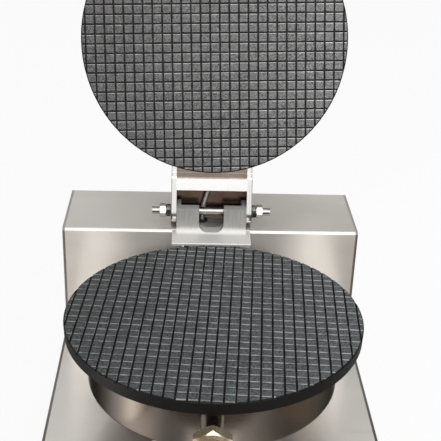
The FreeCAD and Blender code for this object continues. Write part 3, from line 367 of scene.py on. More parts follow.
# %% Softboxes
def softbox(name, place, width, height, watts):
    """A rectangular area lamp that faces the lower plate."""
    lamp = bpy.data.lights.new(name, "AREA")
    lamp.shape = "RECTANGLE"
    lamp.size = width
    lamp.size_y = height
    lamp.energy = watts
    holder = bpy.data.objects.new(name, lamp)
    holder.location = place
    holder.rotation_euler = (lower_face - Vector(place)).to_track_quat("-Z", "Y").to_euler()
    holder.visible_camera = False
    scene.collection.objects.link(holder)
    print(name, "of", watts, "W")


softbox("overhead_softbox", (0.25, -0.25, 1.6), width=1.3, height=1.3, watts=6)
softbox("front_softbox", (0.45, -2.2, 1.5), width=2.6, height=1.2, watts=35)

# %% [markdown]
# ## Non-stick coat
# The plates are cast aluminium, milled with a grid of grooves and sprayed with a dark non-stick coat. The
# coat is a fine speckle, faded in broad patches. Each is a noise of its own size.

# %% Sprayed coat
speckle_size = 1.3 * mm
fading_size = 40 * mm


def sprayed_coat(tree, place, dark, light, wear_and_highlight):
    """The colour of the coat on top of a plate, and the two noises that it comes from."""
    # The spray's speckle is drawn about three times as coarse as the real one so that it shows
    speckle = add(tree, "TexNoise", {"Vector": place, "Scale": 1 / speckle_size, "Detail": 3.0,
                                     "Roughness": 0.7})
    cloud = add(tree, "TexNoise", {"Vector": place, "Scale": 1 / fading_size, "Detail": 4.0})
    fleck = add(tree, "MapRange", {"Value": speckle, "From Min": 0.36, "From Max": 0.64})
    coat = add(tree, "Mix", {0: fleck, 6: linear(dark), 7: linear(light)}, data_type="RGBA")
    fading = add(tree, "MapRange", {"Value": cloud, "From Min": 0.4, "From Max": 0.7, "To Max": 0.4})
    top = add(tree, "Mix", {0: fading, 6: coat, 7: linear(wear_and_highlight)}, data_type="RGBA")
    return top, speckle, cloud


print("speckle of", speckle_size / mm, "mm")

# %% [markdown]
# The floors of the grooves are painted almost black as painted shade, and their shoulders pale, a painted
# highlight together with thin worn coat, so the colour follows the depth under the plate's face. One shoulder
# of each cross groove, the side that faces the light, gets a painted highlight as a pale line. Wrapping the
# place across the grooves finds that shoulder.

# %% Painted groove shade and highlights
groove_depth = 1.1 * mm
land_depth = 0.03 * mm
groove_pitch = 7.44 * mm
groove_shift = 1.6 * mm
shoulder_at = 0.8 * mm
shoulder_half = 0.3 * mm
chip_size = 7 * mm


def groove_shade_and_highlight(tree, place, depth, across, top, highlit_side, highlit):
    """The colour of a plate's face and grooves, from the colour of its top, with painted groove shade and
    highlights.
    """
    level = add(tree, "MapRange", {"Value": depth, "From Min": -groove_depth, "From Max": 0.0})
    # Painted shade and highlight: near black deep in the grooves, pale towards their shoulders, with some wear
    walls = add(tree, "ValToRGB", {0: level})
    walls.color_ramp.elements[0].position = 0.45
    walls.color_ramp.elements[0].color = linear("#0a0a0a")
    walls.color_ramp.elements[1].position = 0.85
    walls.color_ramp.elements[1].color = linear("#a3a5a5")
    chips = add(tree, "TexNoise", {"Vector": place, "Scale": 1 / chip_size, "Detail": 2.0})
    chipped = add(tree, "MapRange", {"Value": chips, "From Min": 0.45, "From Max": 0.65,
                                     "To Min": 0.35, "To Max": 1.9})
    wall_shade_and_highlight = add(tree, "VectorMath", {0: walls, "Scale": chipped}, operation="SCALE")
    land = add(tree, "Math", {0: depth, 1: -land_depth}, operation="GREATER_THAN")
    inside = add(tree, "Mix", {0: land, 6: wall_shade_and_highlight, 7: top}, data_type="RGBA")

    # The painted highlight on the shoulder of each cross groove that faces the light, brighter in some places than
    # in others
    groove_first = groove_pitch / 2 - highlit_side * groove_shift
    in_cell = add(tree, "Math", {0: across, 1: groove_first + groove_pitch / 2,
                                 2: groove_first - groove_pitch / 2}, operation="WRAP")
    shoulder = add(tree, "Math", {0: in_cell, 1: groove_first + highlit_side * shoulder_at,
                                  2: shoulder_half}, operation="COMPARE")
    bright = add(tree, "MapRange", {"Value": chips, "From Min": 0.35, "From Max": 0.65, "To Min": 0.4})
    shown = add(tree, "Math", {0: shoulder, 1: bright}, operation="MULTIPLY")
    above = add(tree, "Math", {0: shown, 1: level}, operation="MULTIPLY")
    return add(tree, "Mix", {0: above, 6: inside, 7: linear(highlit)}, data_type="RGBA")


print("grooves", groove_pitch / mm, "mm apart")

# %% [markdown]
# A Mapping node reads depth, direction and distance from the middle by laying each plate's own axes over the
# object, turned to its grooves. The upper plate is the mirror image of the lower one, so its grooves turn
# and its highlit side lies the other way. Both plates are painted darker on their left, a painted shade that
# changes slowly across them, and they are near black round the rim.

# %% Coated plates
rim_width = 0.9 * mm


def coated_aluminium(name, face, tilt, turn, highlit_side, left_tone, right_tone, dark, light, wear_and_highlight, highlit):
    """The coat of one plate, laid out from the middle of its face. Sprayed, so it looks matt and speckled."""
    material, tree, shader, place = new_finish(name, Specular_IOR_Level=0.22)
    lay = Matrix.Rotation(tilt, 3, "X") @ Matrix.Rotation(math.radians(turn), 3, "Z")
    on_plate = add(tree, "Mapping", {"Vector": place, "Location": face, "Rotation": lay.to_euler()},
                   vector_type="TEXTURE")
    apart = add(tree, "SeparateXYZ", {0: on_plate}).outputs
    flat = add(tree, "VectorMath", {0: on_plate, 1: (1, 1, 0)}, operation="MULTIPLY")
    radius = add(tree, "VectorMath", {0: flat}, operation="LENGTH")
    top, speckle, cloud = sprayed_coat(tree, place, dark, light, wear_and_highlight)
    lined = groove_shade_and_highlight(tree, place, apart["Z"], apart["Y"], top, highlit_side, highlit)
    # Painted shade: each plate darker to its left and lighter to its right
    painted_side_shade = add(tree, "MapRange", {"Value": apart["X"], "From Min": -plate_radius, "From Max": plate_radius,
                                   "To Min": left_tone, "To Max": right_tone})
    toned = add(tree, "VectorMath", {0: lined, "Scale": painted_side_shade}, operation="SCALE")
    # Near black round the rim
    rim = add(tree, "Math", {0: radius, 1: plate_radius - rim_width}, operation="GREATER_THAN")
    colour = add(tree, "Mix", {0: rim, 6: toned, 7: linear("#060606")}, data_type="RGBA")
    rough = add(tree, "MapRange", {"Value": cloud, "To Min": 0.38, "To Max": 0.6})
    grit = add(tree, "Bump", {"Height": speckle, "Strength": 0.5, "Distance": 0.06 * mm})
    set_inputs(shader, {"Base Color": colour, "Roughness": rough, "Normal": grit})
    return material


# Painted light: both plates have one coat, but the upper one is given paler colours, a painted highlight, and the
# lower one darker ones, a painted shade
lower_coat = coated_aluminium("sprayed non-stick coat, lower plate", lower_face, tilt=0.0, turn=-4.1,
                              highlit_side=1, left_tone=0.65, right_tone=1.1,
                              dark="#1e2122", light="#6b6f70", wear_and_highlight="#5c6061", highlit="#a9abab")
upper_coat = coated_aluminium("sprayed non-stick coat, upper plate", upper_face, tilt=upper_tilt, turn=1.9,
                              highlit_side=-1, left_tone=0.7, right_tone=1.3,
                              dark="#353535", light="#858484", wear_and_highlight="#777676", highlit="#d6d4d2")
print("coats for both plates")

# %% [markdown]
# ## Brushed sheet
# The body is folded from brushed stainless sheet. Brushing leaves fine parallel scratches, so a mirror
# image is smeared across them. The scratches are a noise stretched along the sheet, which changes the
# roughness and tips the surface a little. Real scratches are a few hundredths of a millimetre wide, too
# fine for this picture, so they are drawn half a millimetre wide. The shader's anisotropy smears the mirror
# image across the grain, along a tangent that circles the grain's axis. A broad second noise stands for
# wiped smears, which dull the sheet here and there. The side panels show their cut edges as thin strips
# beside the deck and the front of the tower. Cutting leaves these dark, and they are found as all that lies
# a little inside the panels' outer faces.

# %% Brushed sheet
tower_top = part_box("tower_cover")[1].z
side_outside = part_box("right_side_panel")[1].x
cut_edge = "#85827e"
cut_margin = 0.05 * mm
top_margin = 0.1 * mm
smear_size = 80 * mm


def brushed_stainless(name, along, colour, smeared, roughness, cut_inside=0.0):
    """Sheet with its grain along one axis. What lies nearer than cut_inside to the middle is a cut edge."""
    material, tree, shader, place = new_finish(name, Metallic=1.0, Anisotropic=0.85)
    scratch_width = 0.5 * mm
    scratch_length = 70 * mm
    stretch = [1 / scratch_length if axis == along else 1 / scratch_width for axis in "XYZ"]
    laid = add(tree, "Mapping", {"Vector": place, "Scale": stretch})
    scratches = add(tree, "TexNoise", {"Vector": laid, "Scale": 1.0, "Detail": 3.0})
    smears = add(tree, "TexNoise", {"Vector": place, "Scale": 1 / smear_size, "Detail": 2.0})
    wiped = add(tree, "MapRange", {"Value": smears, "From Min": 0.35, "From Max": 0.65})
    tone = add(tree, "Mix", {0: wiped, 6: linear(colour), 7: linear(smeared)}, data_type="RGBA")
    apart = add(tree, "SeparateXYZ", {0: place}).outputs
    sideways = add(tree, "Math", {0: apart["X"]}, operation="ABSOLUTE")
    cut = add(tree, "Math", {0: sideways, 1: cut_inside}, operation="LESS_THAN")
    below = add(tree, "Math", {0: apart["Z"], 1: tower_top - top_margin}, operation="LESS_THAN")
    burnt = add(tree, "Math", {0: cut, 1: below}, operation="MULTIPLY")
    edged = add(tree, "Mix", {0: burnt, 6: tone, 7: linear(cut_edge)}, data_type="RGBA")
    mixed = add(tree, "Math", {0: scratches, 1: smears}, operation="ADD")
    rough = add(tree, "MapRange", {"Value": mixed, "From Min": 0.7, "From Max": 1.3,
                                   "To Min": roughness - 0.07, "To Max": roughness + 0.07})
    bump = add(tree, "Bump", {"Height": scratches, "Strength": 0.05, "Distance": 0.02 * mm})
    across = add(tree, "Tangent", direction_type="RADIAL", axis=along)
    set_inputs(shader, {"Base Color": edged, "Roughness": rough, "Normal": bump, "Tangent": across})
    return material


sheet_steel = brushed_stainless("brushed stainless, grain across", "X", "#d3cfca", "#cdc9c4",
                                roughness=0.36)
side_steel = brushed_stainless("brushed stainless, grain to the back", "Y", "#d3cfca", "#cdc9c4",
                               roughness=0.36, cut_inside=side_outside - cut_margin)
print("brushed sheet, cut edges inside", round((side_outside - cut_margin) / mm, 2), "mm")

# %% [markdown]
# ## Spun pan
# The pans are spun from thin stainless sheet over a form, which leaves rings round their axis. The rings
# are a noise that only knows the distance from the axis and the height along it, so it runs round the pan.
# The lower pan is given darker colours than the upper one, also where it is seen at a glancing angle.

# %% Spun pan
def spun_stainless(name, face, tilt, dark, light, edge):
    """Spun steel, bright and finely ringed. The edge colour tints what it mirrors at a glancing angle."""
    material, tree, shader, place = new_finish(name, Metallic=1.0, Specular_Tint=linear(edge))
    ring_width = 0.7 * mm
    heat_size = 60 * mm
    on_pan = add(tree, "Mapping", {"Vector": place, "Location": face, "Rotation": (tilt, 0, 0)},
                 vector_type="TEXTURE")
    height = add(tree, "SeparateXYZ", {0: on_pan}).outputs["Z"]
    across = add(tree, "VectorMath", {0: on_pan, 1: (1, 1, 0)}, operation="MULTIPLY")
    radius = add(tree, "VectorMath", {0: across}, operation="LENGTH")
    section = add(tree, "CombineXYZ", {"X": radius, "Z": height})
    rings = add(tree, "TexNoise", {"Vector": section, "Scale": 1 / ring_width, "Detail": 2.0})
    heat = add(tree, "TexNoise", {"Vector": place, "Scale": 1 / heat_size, "Detail": 3.0})
    tint = add(tree, "Mix", {0: heat, 6: linear(dark), 7: linear(light)}, data_type="RGBA")
    rough = add(tree, "MapRange", {"Value": rings, "From Min": 0.3, "From Max": 0.7,
                                   "To Min": 0.13, "To Max": 0.22})
    bump = add(tree, "Bump", {"Height": rings, "Strength": 0.05, "Distance": 0.02 * mm})
    set_inputs(shader, {"Base Color": tint, "Roughness": rough, "Normal": bump})
    return material


lower_pan_steel = spun_stainless("spun stainless, lower pan", lower_face, 0.0, "#8a8783", "#938a83",
                                 "#8a8c8a")
upper_pan_steel = spun_stainless("spun stainless, upper pan", upper_face, upper_tilt, "#aaa6a2", "#b4ada6",
                                 "#d6d6d6")
print("spun pans")

# %% [markdown]
# ## Hinge casting
# The hinge base is a pale aluminium casting, left as it came from its mould and rubbed down with a file.
# The mould's skin is a fine orange peel. The file leaves short upright strokes that are a little brighter,
# and the front shelf, which faces up to the light, is painted brightest as a painted highlight.

# %% Hinge casting
shelf_top = tower_top + 1 * mm
shelf_fade = 2 * mm
skin_grain = 1.6 * mm
stroke_width = 1.5 * mm
stroke_length = 14 * mm
casting, tree, shader, place = new_finish("cast aluminium, filed", Metallic=0.4)
skin = add(tree, "TexNoise", {"Vector": place, "Scale": 1 / skin_grain, "Detail": 4.0, "Roughness": 0.6})
stroke = add(tree, "Mapping", {"Vector": place,
                               "Scale": (1 / stroke_width, 1 / stroke_width, 1 / stroke_length)})
strokes = add(tree, "TexNoise", {"Vector": stroke, "Scale": 1.0, "Detail": 3.0})
filed = add(tree, "MapRange", {"Value": strokes, "From Min": 0.35, "From Max": 0.65})
tone = add(tree, "Mix", {0: filed, 6: linear("#aaa8a4"), 7: linear("#bab8b4")}, data_type="RGBA")
height = add(tree, "SeparateXYZ", {0: place}).outputs["Z"]
# Painted highlight: the shelf, and all of the casting below the tower's top, is painted paler
highlit = add(tree, "MapRange", {"Value": height, "From Min": shelf_top, "From Max": shelf_top + shelf_fade,
                                "To Min": 1.0, "To Max": 0.0})
wear_and_highlight = add(tree, "Mix", {0: highlit, 6: tone, 7: linear("#d9d7d3")}, data_type="RGBA")
rough = add(tree, "MapRange", {"Value": skin, "From Min": 0.3, "From Max": 0.7,
                               "To Min": 0.42, "To Max": 0.56})
peel = add(tree, "Bump", {"Height": skin, "Strength": 0.3, "Distance": 0.1 * mm})
set_inputs(shader, {"Base Color": wear_and_highlight, "Roughness": rough, "Normal": peel})
print("casting, its shelf rubbed below", round(shelf_top / mm, 1), "mm")

# %% [markdown]
# ## Polished arm
# The arm is stainless, polished on a wheel, brightest on its cross-bar. Its two sides are painted darker as
# painted shade, and its legs a little. Inside its channel the steel is painted dark brown as painted shade.
# Each zone is laid out by reading the arm's own axes at the hinge rod: across, along the arm, and out of its
# front.

# %% Zones of the arm
arm_inside_half = 28.5 * mm
arm_outside_half = 32.5 * mm
side_skin = 0.6 * mm
arm_front = 9.6 * mm
arm_roof = -16.5 * mm
web_start = 24.5 * mm
leg_fade = 0.2 * mm
leg_shade = 0.22
polished_arm, tree, shader, place = new_finish("polished stainless, painted shade inside", Metallic=1.0)
on_arm = add(tree, "Mapping", {"Vector": place, "Location": hinge_rod, "Rotation": (upper_tilt, 0, 0)},
             vector_type="TEXTURE")
along = add(tree, "SeparateXYZ", {0: on_arm}).outputs
sideways = add(tree, "Math", {0: along["X"]}, operation="ABSOLUTE")
between = add(tree, "Math", {0: sideways, 1: arm_inside_half}, operation="LESS_THAN")
behind = add(tree, "Math", {0: along["Z"], 1: arm_front}, operation="LESS_THAN")
before = add(tree, "Math", {0: along["Z"], 1: arm_roof}, operation="GREATER_THAN")
hollow = add(tree, "Math", {0: behind, 1: before}, operation="MULTIPLY")
channel = add(tree, "Math", {0: hollow, 1: between}, operation="MULTIPLY")
on_web = add(tree, "Math", {0: along["Y"], 1: web_start}, operation="GREATER_THAN")
# Painted shade: the legs a little darker than the cross-bar, and their outer sides fully darker
on_leg = add(tree, "MapRange", {"Value": sideways, "From Min": arm_inside_half,
                                "From Max": arm_inside_half + leg_fade, "To Max": leg_shade})
on_side = add(tree, "Math", {0: sideways, 1: arm_outside_half - side_skin}, operation="GREATER_THAN")
sided = add(tree, "Math", {0: on_leg, 1: on_side}, operation="MAXIMUM")
print("arm with a channel", round(2 * arm_inside_half / mm, 1), "mm wide")

# %% [markdown]
# Then each zone gets its colour. The painted shade in the channel is cloudy, dark deep inside and paler on
# the web near the pan. The polish is a noise stretched along the arm, in two near tones, and its lines
# change the roughness.
# They are drawn far wider than the wheel's real ones, so that they show.

# %% Polished arm
channel_shade_size = 12 * mm
polish_width = 0.6 * mm
polish_length = 30 * mm
cloud = add(tree, "TexNoise", {"Vector": place, "Scale": 1 / channel_shade_size, "Detail": 4.0})
lines = add(tree, "Mapping", {"Vector": place,
                              "Scale": (1 / polish_width, 1 / polish_length, 1 / polish_length)})
polish = add(tree, "TexNoise", {"Vector": lines, "Scale": 1.0, "Detail": 2.0})
# Painted shade in the channel: dark brown deep inside, paler on the web near the pan
deep = add(tree, "Mix", {0: cloud, 6: linear("#3a2c26"), 7: linear("#66544a")}, data_type="RGBA")
web = add(tree, "Mix", {0: cloud, 6: linear("#63574f"), 7: linear("#958a80")}, data_type="RGBA")
channel_shade = add(tree, "Mix", {0: on_web, 6: deep, 7: web}, data_type="RGBA")
bright = add(tree, "Mix", {0: polish, 6: linear("#e9e7e5"), 7: linear("#f2f0ee")}, data_type="RGBA")
# The painted shade of the sides, in two near tones
side_shade = add(tree, "Mix", {0: polish, 6: linear("#8f8b87"), 7: linear("#9d9995")}, data_type="RGBA")
outer = add(tree, "Mix", {0: sided, 6: bright, 7: side_shade}, data_type="RGBA")
colour = add(tree, "Mix", {0: channel, 6: outer, 7: channel_shade}, data_type="RGBA")
rough = add(tree, "MapRange", {"Value": polish, "To Min": 0.12, "To Max": 0.2})
set_inputs(shader, {"Base Color": colour, "Roughness": rough})
print("arm polished in lines", polish_width / mm, "mm wide")

# %% [markdown]
# ## Small metal and moulded pieces
# Zinc plate, phenolic, rubber and the rest differ in colour and shine, but each has the same kind of
# surface: two near tones in grains of half a millimetre to nine millimetres, a roughness that follows the
# grains, and a little relief. One function makes them all, and each call gives the real material's values.

# %% Small metal
def grained(name, dark, light, grain, rough_low, rough_high, relief, **sockets):
    """A finish in two near tones whose roughness and relief follow the same grain."""
    material, tree, shader, place = new_finish(name, **sockets)
    grains = add(tree, "TexNoise", {"Vector": place, "Scale": 1 / grain, "Detail": 4.0, "Roughness": 0.6})
    spread = add(tree, "MapRange", {"Value": grains, "From Min": 0.3, "From Max": 0.7})
    tone = add(tree, "Mix", {0: spread, 6: linear(dark), 7: linear(light)}, data_type="RGBA")
    rough = add(tree, "MapRange", {"Value": spread, "To Min": rough_low, "To Max": rough_high})
    bump = add(tree, "Bump", {"Height": grains, "Strength": 0.3, "Distance": relief})
    set_inputs(shader, {"Base Color": tone, "Roughness": rough, "Normal": bump})
    return material


# Zinc plate is bright grey, and wiped dull in places
zinc = grained("electroplated zinc", "#989490", "#b3afab", 4 * mm, 0.16, 0.3, 0.01 * mm, Metallic=1.0)
# Nickel on a hexagon that spanners have turned: pale, with the yellow of the brass coming through
plated_brass = grained("nickel plate worn to the brass", "#b8a47d", "#dfd4bd", 9 * mm, 0.2, 0.32, 0.01 * mm,
                       Metallic=0.8)
# The sheath of a heating element goes dull and dark brown
sheath = grained("steel sheath, oxidised by heat", "#4a4644", "#6a625c", 3 * mm, 0.4, 0.6, 0.02 * mm,
                 Metallic=1.0)
# Soft copper with brown tarnish in patches
copper = grained("drawn copper, tarnished", "#a5673f", "#c98a63", 5 * mm, 0.25, 0.4, 0.01 * mm, Metallic=1.0)
# Chrome on the lamp bezels is a near mirror
chrome = grained("electroplated chrome", "#d8d9da", "#e8e8e8", 8 * mm, 0.05, 0.1, 0.002 * mm, Metallic=1.0)
print("small metal:", [finish.name for finish in (zinc, plated_brass, sheath, copper, chrome)])

# %% [markdown]
# A moulding takes the skin of its mould, polished or satin. Rubber, ceramic and wool have rougher skins of
# their own, and print and paint lie on top of another piece.

# %% Mouldings and the rest
# Compression-moulded phenolic is near black and glossy, with a faint orange peel
phenolic = grained("moulded phenolic, black", "#0d0c0c", "#1b1a19", 2.5 * mm, 0.22, 0.34, 0.03 * mm)
# ABS takes the fine satin texture of its mould, which spreads the highlights
satin_abs = grained("moulded ABS, satin black", "#111111", "#1c1c1c", 0.6 * mm, 0.42, 0.55, 0.04 * mm)
# Nylon from a polished mould: sharp highlights on the switch's rocker
gloss_nylon = grained("moulded nylon, gloss black", "#0b0b0b", "#151515", 3 * mm, 0.12, 0.2, 0.01 * mm)
# Rubber looks dusty and dull
rubber = grained("vulcanised rubber, black", "#161616", "#242322", 0.9 * mm, 0.7, 0.85, 0.05 * mm)
# Unglazed steatite is a chalky cream
ceramic = grained("fired steatite, unglazed", "#d9d3c4", "#ece8dd", 1.5 * mm, 0.5, 0.65, 0.02 * mm)
# Pressed wool is straw-coloured, matt and rough
wool = grained("pressed mineral wool", "#b5a888", "#d2c7ab", 1.2 * mm, 0.85, 0.95, 0.3 * mm)
# Dyed lenses have a strong colour under a clear gloss
red_lens = grained("moulded polycarbonate, red", "#a30d06", "#c81c0e", 2 * mm, 0.08, 0.16, 0.02 * mm,
                   Coat_Weight=0.5)
amber_lens = grained("moulded polycarbonate, amber", "#c87408", "#e6951c", 2 * mm, 0.08, 0.16, 0.02 * mm,
                     Coat_Weight=0.5)
# Printing ink lies flat and half matt, and so does the paint that fills moulded marks
black_ink = grained("screen-printed ink, black", "#151515", "#222222", 0.5 * mm, 0.4, 0.55, 0.005 * mm)
white_paint = grained("rubbed-in paint, white", "#d8d6d0", "#eceae6", 0.6 * mm, 0.4, 0.55, 0.01 * mm)
print("grained finishes:", len(bpy.data.materials), "materials so far")

# %% [markdown]
# ## Turned stem
# The stems between pans and handle are turned on a lathe, which leaves rings along their length, and then
# browned by heat. The stem lies along the pan's radius, so the rings are a noise that knows only the
# distance from the pan's axis. They are drawn a few times as wide as a lathe's feed, so that they show.

# %% Turned stem
def turned_steel(name, face, tilt):
    """Lathe-turned steel: bright, finely ringed, and browned in patches."""
    material, tree, shader, place = new_finish(name, Metallic=1.0)
    ring_width = 0.6 * mm
    heat_size = 9 * mm
    on_pan = add(tree, "Mapping", {"Vector": place, "Location": face, "Rotation": (tilt, 0, 0)},
                 vector_type="TEXTURE")
    outward = add(tree, "SeparateXYZ", {0: on_pan}).outputs["Y"]
    section = add(tree, "CombineXYZ", {"Y": outward})
    rings = add(tree, "TexNoise", {"Vector": section, "Scale": 1 / ring_width, "Detail": 1.0})
    heat = add(tree, "TexNoise", {"Vector": place, "Scale": 1 / heat_size, "Detail": 3.0})
    tone = add(tree, "Mix", {0: heat, 6: linear("#b5aca3"), 7: linear("#e6ded4")}, data_type="RGBA")
    rough = add(tree, "MapRange", {"Value": rings, "To Min": 0.16, "To Max": 0.3})
    bump = add(tree, "Bump", {"Height": rings, "Strength": 0.15, "Distance": 0.03 * mm})
    set_inputs(shader, {"Base Color": tone, "Roughness": rough, "Normal": bump})
    return material


lower_stem = turned_steel("turned steel, lower stem", lower_face, 0.0)
upper_stem = turned_steel("turned steel, upper stem", upper_face, upper_tilt)
print("stems:", lower_stem.name, "and", upper_stem.name)

# %% [markdown]
# ## Lead
# The lead that feeds the upper heater rises out of the tower behind the hinge rod and goes into the arm.
# Its sleeve is braided from tinned wire, two sets of slanting bands that cross each other.

# %% Braid
def braided_sleeve():
    """Tinned wire, braided: pale strands and dark gaps, drawn coarser than real ones so that they show."""
    material, tree, shader, place = new_finish("tinned wire, braided", Metallic=0.8)
    strand = 1.6 * mm
    bands_per_metre = 2 * math.pi / (10 * strand)
    crossed = []
    for side in (1, -1):
        laid = add(tree, "Mapping", {"Vector": place, "Scale": (side, side, 1)})
        bands = add(tree, "TexWave", {"Vector": laid, "Scale": bands_per_metre, "Distortion": 0.4},
                    bands_direction="DIAGONAL")
        crossed.append(bands.outputs["Fac"])
    weave = add(tree, "Math", {0: crossed[0], 1: crossed[1]}, operation="MULTIPLY")
    tone = add(tree, "Mix", {0: weave, 6: linear("#8d8a86"), 7: linear("#dddbd8")}, data_type="RGBA")
    rough = add(tree, "MapRange", {"Value": weave, "To Min": 0.5, "To Max": 0.3})
    bump = add(tree, "Bump", {"Height": weave, "Strength": 0.4, "Distance": 0.2 * mm})
    set_inputs(shader, {"Base Color": tone, "Roughness": rough, "Normal": bump})
    return material


braid = braided_sleeve()
print("braid:", braid.name)

# %% [markdown]
# The solid model has the lead as a stiff tube, but a real lead bends when the lid closes, so it is made
# again here: a smooth curve through six places, given a round section and turned into a mesh. Three of the
# places belong to the base. The other three belong to the lid, and are given for a closed lid and then
# swung open.

# %% Lead
lead_radius = 2.2 * mm
join_distance = 0.01 * mm
# Places from the hinge rod in millimetres: (x, back, up)
route_on_base = [(-7.2, 7.3, -44.8), (-7.2, 7.3, -8.0), (-7.2, 7.3, 0.0)]
route_on_lid = [(3.5, -33.7, 7.0), (3.5, -41.0, 7.0), (3.5, -64.5, 7.0)]
route = [hinge_rod + Vector(p) * mm for p in route_on_base]
route += [hinge_rod + lid_swing @ (Vector(p) * mm) for p in route_on_lid]
curve = bpy.data.curves.new("lead route", "CURVE")
curve.dimensions = "3D"
curve.bevel_depth = lead_radius
curve.bevel_resolution = 5
curve.use_fill_caps = True
curve.resolution_u = 16
spline = curve.splines.new("NURBS")
spline.points.add(len(route) - 1)
for point, place in zip(spline.points, route):
    point.co = (*place, 1.0)
spline.order_u = 3
spline.use_endpoint_u = True
route_object = bpy.data.objects.new("lead route", curve)
scene.collection.objects.link(route_object)
bpy.context.view_layer.update()
lead_mesh = bpy.data.meshes.new_from_object(route_object)
bpy.data.objects.remove(route_object)
shape = bmesh.new()
shape.from_mesh(lead_mesh)
bmesh.ops.remove_doubles(shape, verts=shape.verts, dist=join_distance)
bmesh.ops.recalc_face_normals(shape, faces=shape.faces)
lid_lead = new_piece("lid_lead_sleeve", shape, braid, smooth=True)
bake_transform(lid_lead)
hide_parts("lid_lead")
print("lead sleeve with", len(lid_lead.data.polygons), "faces")

# %% [markdown]
# ## Marks on the controls
# The front panel carries two dials, a rocker switch and two lamps. The dials' print is real geometry, a few
# hundredths of a millimetre proud, so it survives in the finished mesh. A number is a text curve that is
# made into a mesh before it gets its place.

# %% Numbers
print_half = 0.04 * mm
number_size = 5.2 * mm


def number_mesh(text):
    """A number standing upright in the XZ plane, its face to the front, centred on the origin."""
    letters = bpy.data.curves.new("number", "FONT")
    letters.body = text
    letters.size = number_size
    letters.align_x = "CENTER"
    letters.align_y = "CENTER"
    letters.extrude = print_half
    letters.resolution_u = 3
    holder = bpy.data.objects.new("number", letters)
    scene.collection.objects.link(holder)
    bpy.context.view_layer.update()
    mesh = bpy.data.meshes.new_from_object(holder)
    bpy.data.objects.remove(holder)
    mesh.transform(Matrix.Rotation(math.radians(90), 4, "X"))
    return mesh


print("numbers in a size of", number_size / mm, "mm")

# %% [markdown]
# Each dial has a printed ring of strokes and plain numbers. A stroke is a scaled cube turned to its place on
# the ring. The stroke straight up is off and has no number, because the deck's folded lip comes down to just
# above it.

# %% Dial print
tick_inner = 22.0 * mm
tick_width = 0.5 * mm
long_tick = 2.7 * mm
short_tick = 1.8 * mm
number_radius = 29.0 * mm


def dial_print(name, centre, sweep, numbers, ticks_each):
    """Strokes and numbers clockwise round a knob, the first one straight up."""
    shape = bmesh.new()
    steps = (len(numbers) - 1) * ticks_each
    for step in range(steps + 1):
        angle = math.radians(sweep) * step / steps
        length = long_tick if step % ticks_each == 0 else short_tick
        spoke = Matrix.Translation(centre) @ Matrix.Rotation(angle, 4, "Y")
        middle = Matrix.Translation((0, 0, tick_inner + length / 2))
        size = Matrix.Diagonal((tick_width, 2 * print_half, length, 1.0))
        bmesh.ops.create_cube(shape, size=1.0, matrix=spoke @ middle @ size)
        if step % ticks_each == 0 and numbers[step // ticks_each]:
            mesh = number_mesh(numbers[step // ticks_each])
            reach = Vector((number_radius * math.sin(angle), 0, number_radius * math.cos(angle)))
            mesh.transform(Matrix.Translation(centre + reach))
            shape.from_mesh(mesh)
            bpy.data.meshes.remove(mesh)
    piece = new_piece(name, shape, black_ink)
    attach(piece, "base")
    return piece


thermostat_at = joint_at["thermostat_turn"]
timer_at = joint_at["timer_turn"]
heat_print = dial_print("thermostat_print", Vector((thermostat_at.x, panel_face, thermostat_at.z)),
                        sweep=270, numbers=["", "50", "100", "150", "200", "250", "300"], ticks_each=5)
time_print = dial_print("timer_print", Vector((timer_at.x, panel_face, timer_at.z)),
                        sweep=300, numbers=["", "1", "2", "3", "4", "5"], ticks_each=4)
print("dial prints", len(heat_print.data.polygons), len(time_print.data.polygons), "faces")

# %% [markdown]
# Each knob is moulded with a groove on its ridge that is filled with white paint. The paint is a thin bar,
# half sunk in the knob's face, and it rides on the knob's body so that it turns with it.

# %% Pointers on the knobs
pointer_width = 1.5 * mm
pointer_from = 3.5 * mm
pointer_to = 12.4 * mm
pointer_thickness = 0.3 * mm
for name, body, knob in (("thermostat_pointer", "thermostat_dial", "thermostat_knob"),
                         ("timer_pointer", "timer_dial", "timer_knob")):
    low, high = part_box(knob)
    middle = Vector(((low.x + high.x) / 2, low.y, (low.z + high.z) / 2 + (pointer_from + pointer_to) / 2))
    size = Matrix.Diagonal((pointer_width, pointer_thickness, pointer_to - pointer_from, 1.0))
    shape = bmesh.new()
    bmesh.ops.create_cube(shape, size=1.0, matrix=Matrix.Translation(middle) @ size)
    pointer = new_piece(name, shape, white_paint)
    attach(pointer, body)
    print(name, "turns with", body)

# %% [markdown]
# The rocker has the usual two marks, a ring for off and a stroke for on. Its faces slope, so a ray is sent
# at each face to find where the mark sits and which way it looks. The ring is made round the origin, a
# small closed outline spun once round an axis, and then moved to its place. The stroke is a scaled cube.

# %% Rocker marks
mark_reach = 6.0 * mm
mark_half = 0.1 * mm
stroke_size = (0.9 * mm, 5.0 * mm, 2 * mark_half, 1.0)
ring_inner = 1.7 * mm
ring_outer = 2.5 * mm
ray_start = 10 * mm
bpy.context.view_layer.update()
rocker_skin = BVHTree.FromObject(nodes["power_rocker"], bpy.context.evaluated_depsgraph_get())
rocker_low, rocker_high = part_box("power_rocker")
rocker_at = (rocker_low + rocker_high) / 2


def on_rocker(up):
    """The place of a mark on the rocker's face, its Z axis out of the face and its Y axis up."""
    start = Vector((rocker_at.x, rocker_low.y - ray_start, rocker_at.z + up))
    spot, out = rocker_skin.ray_cast(start, Vector((0, 1, 0)))[:2]
    side = Vector((1, 0, 0))
    turn = Matrix((side, out.cross(side), out)).transposed()
    return Matrix.Translation(spot) @ turn.to_4x4()


def spin_outline(shape, outline, centre, axis, steps):
    """Spins a closed outline once round an axis."""
    corners = [shape.verts.new(place) for place in outline]
    sides = [shape.edges.new(pair) for pair in zip(corners, corners[1:] + corners[:1])]
    bmesh.ops.spin(shape, geom=corners + sides, cent=centre, axis=axis, angle=2 * math.pi, steps=steps,
                   use_merge=True)


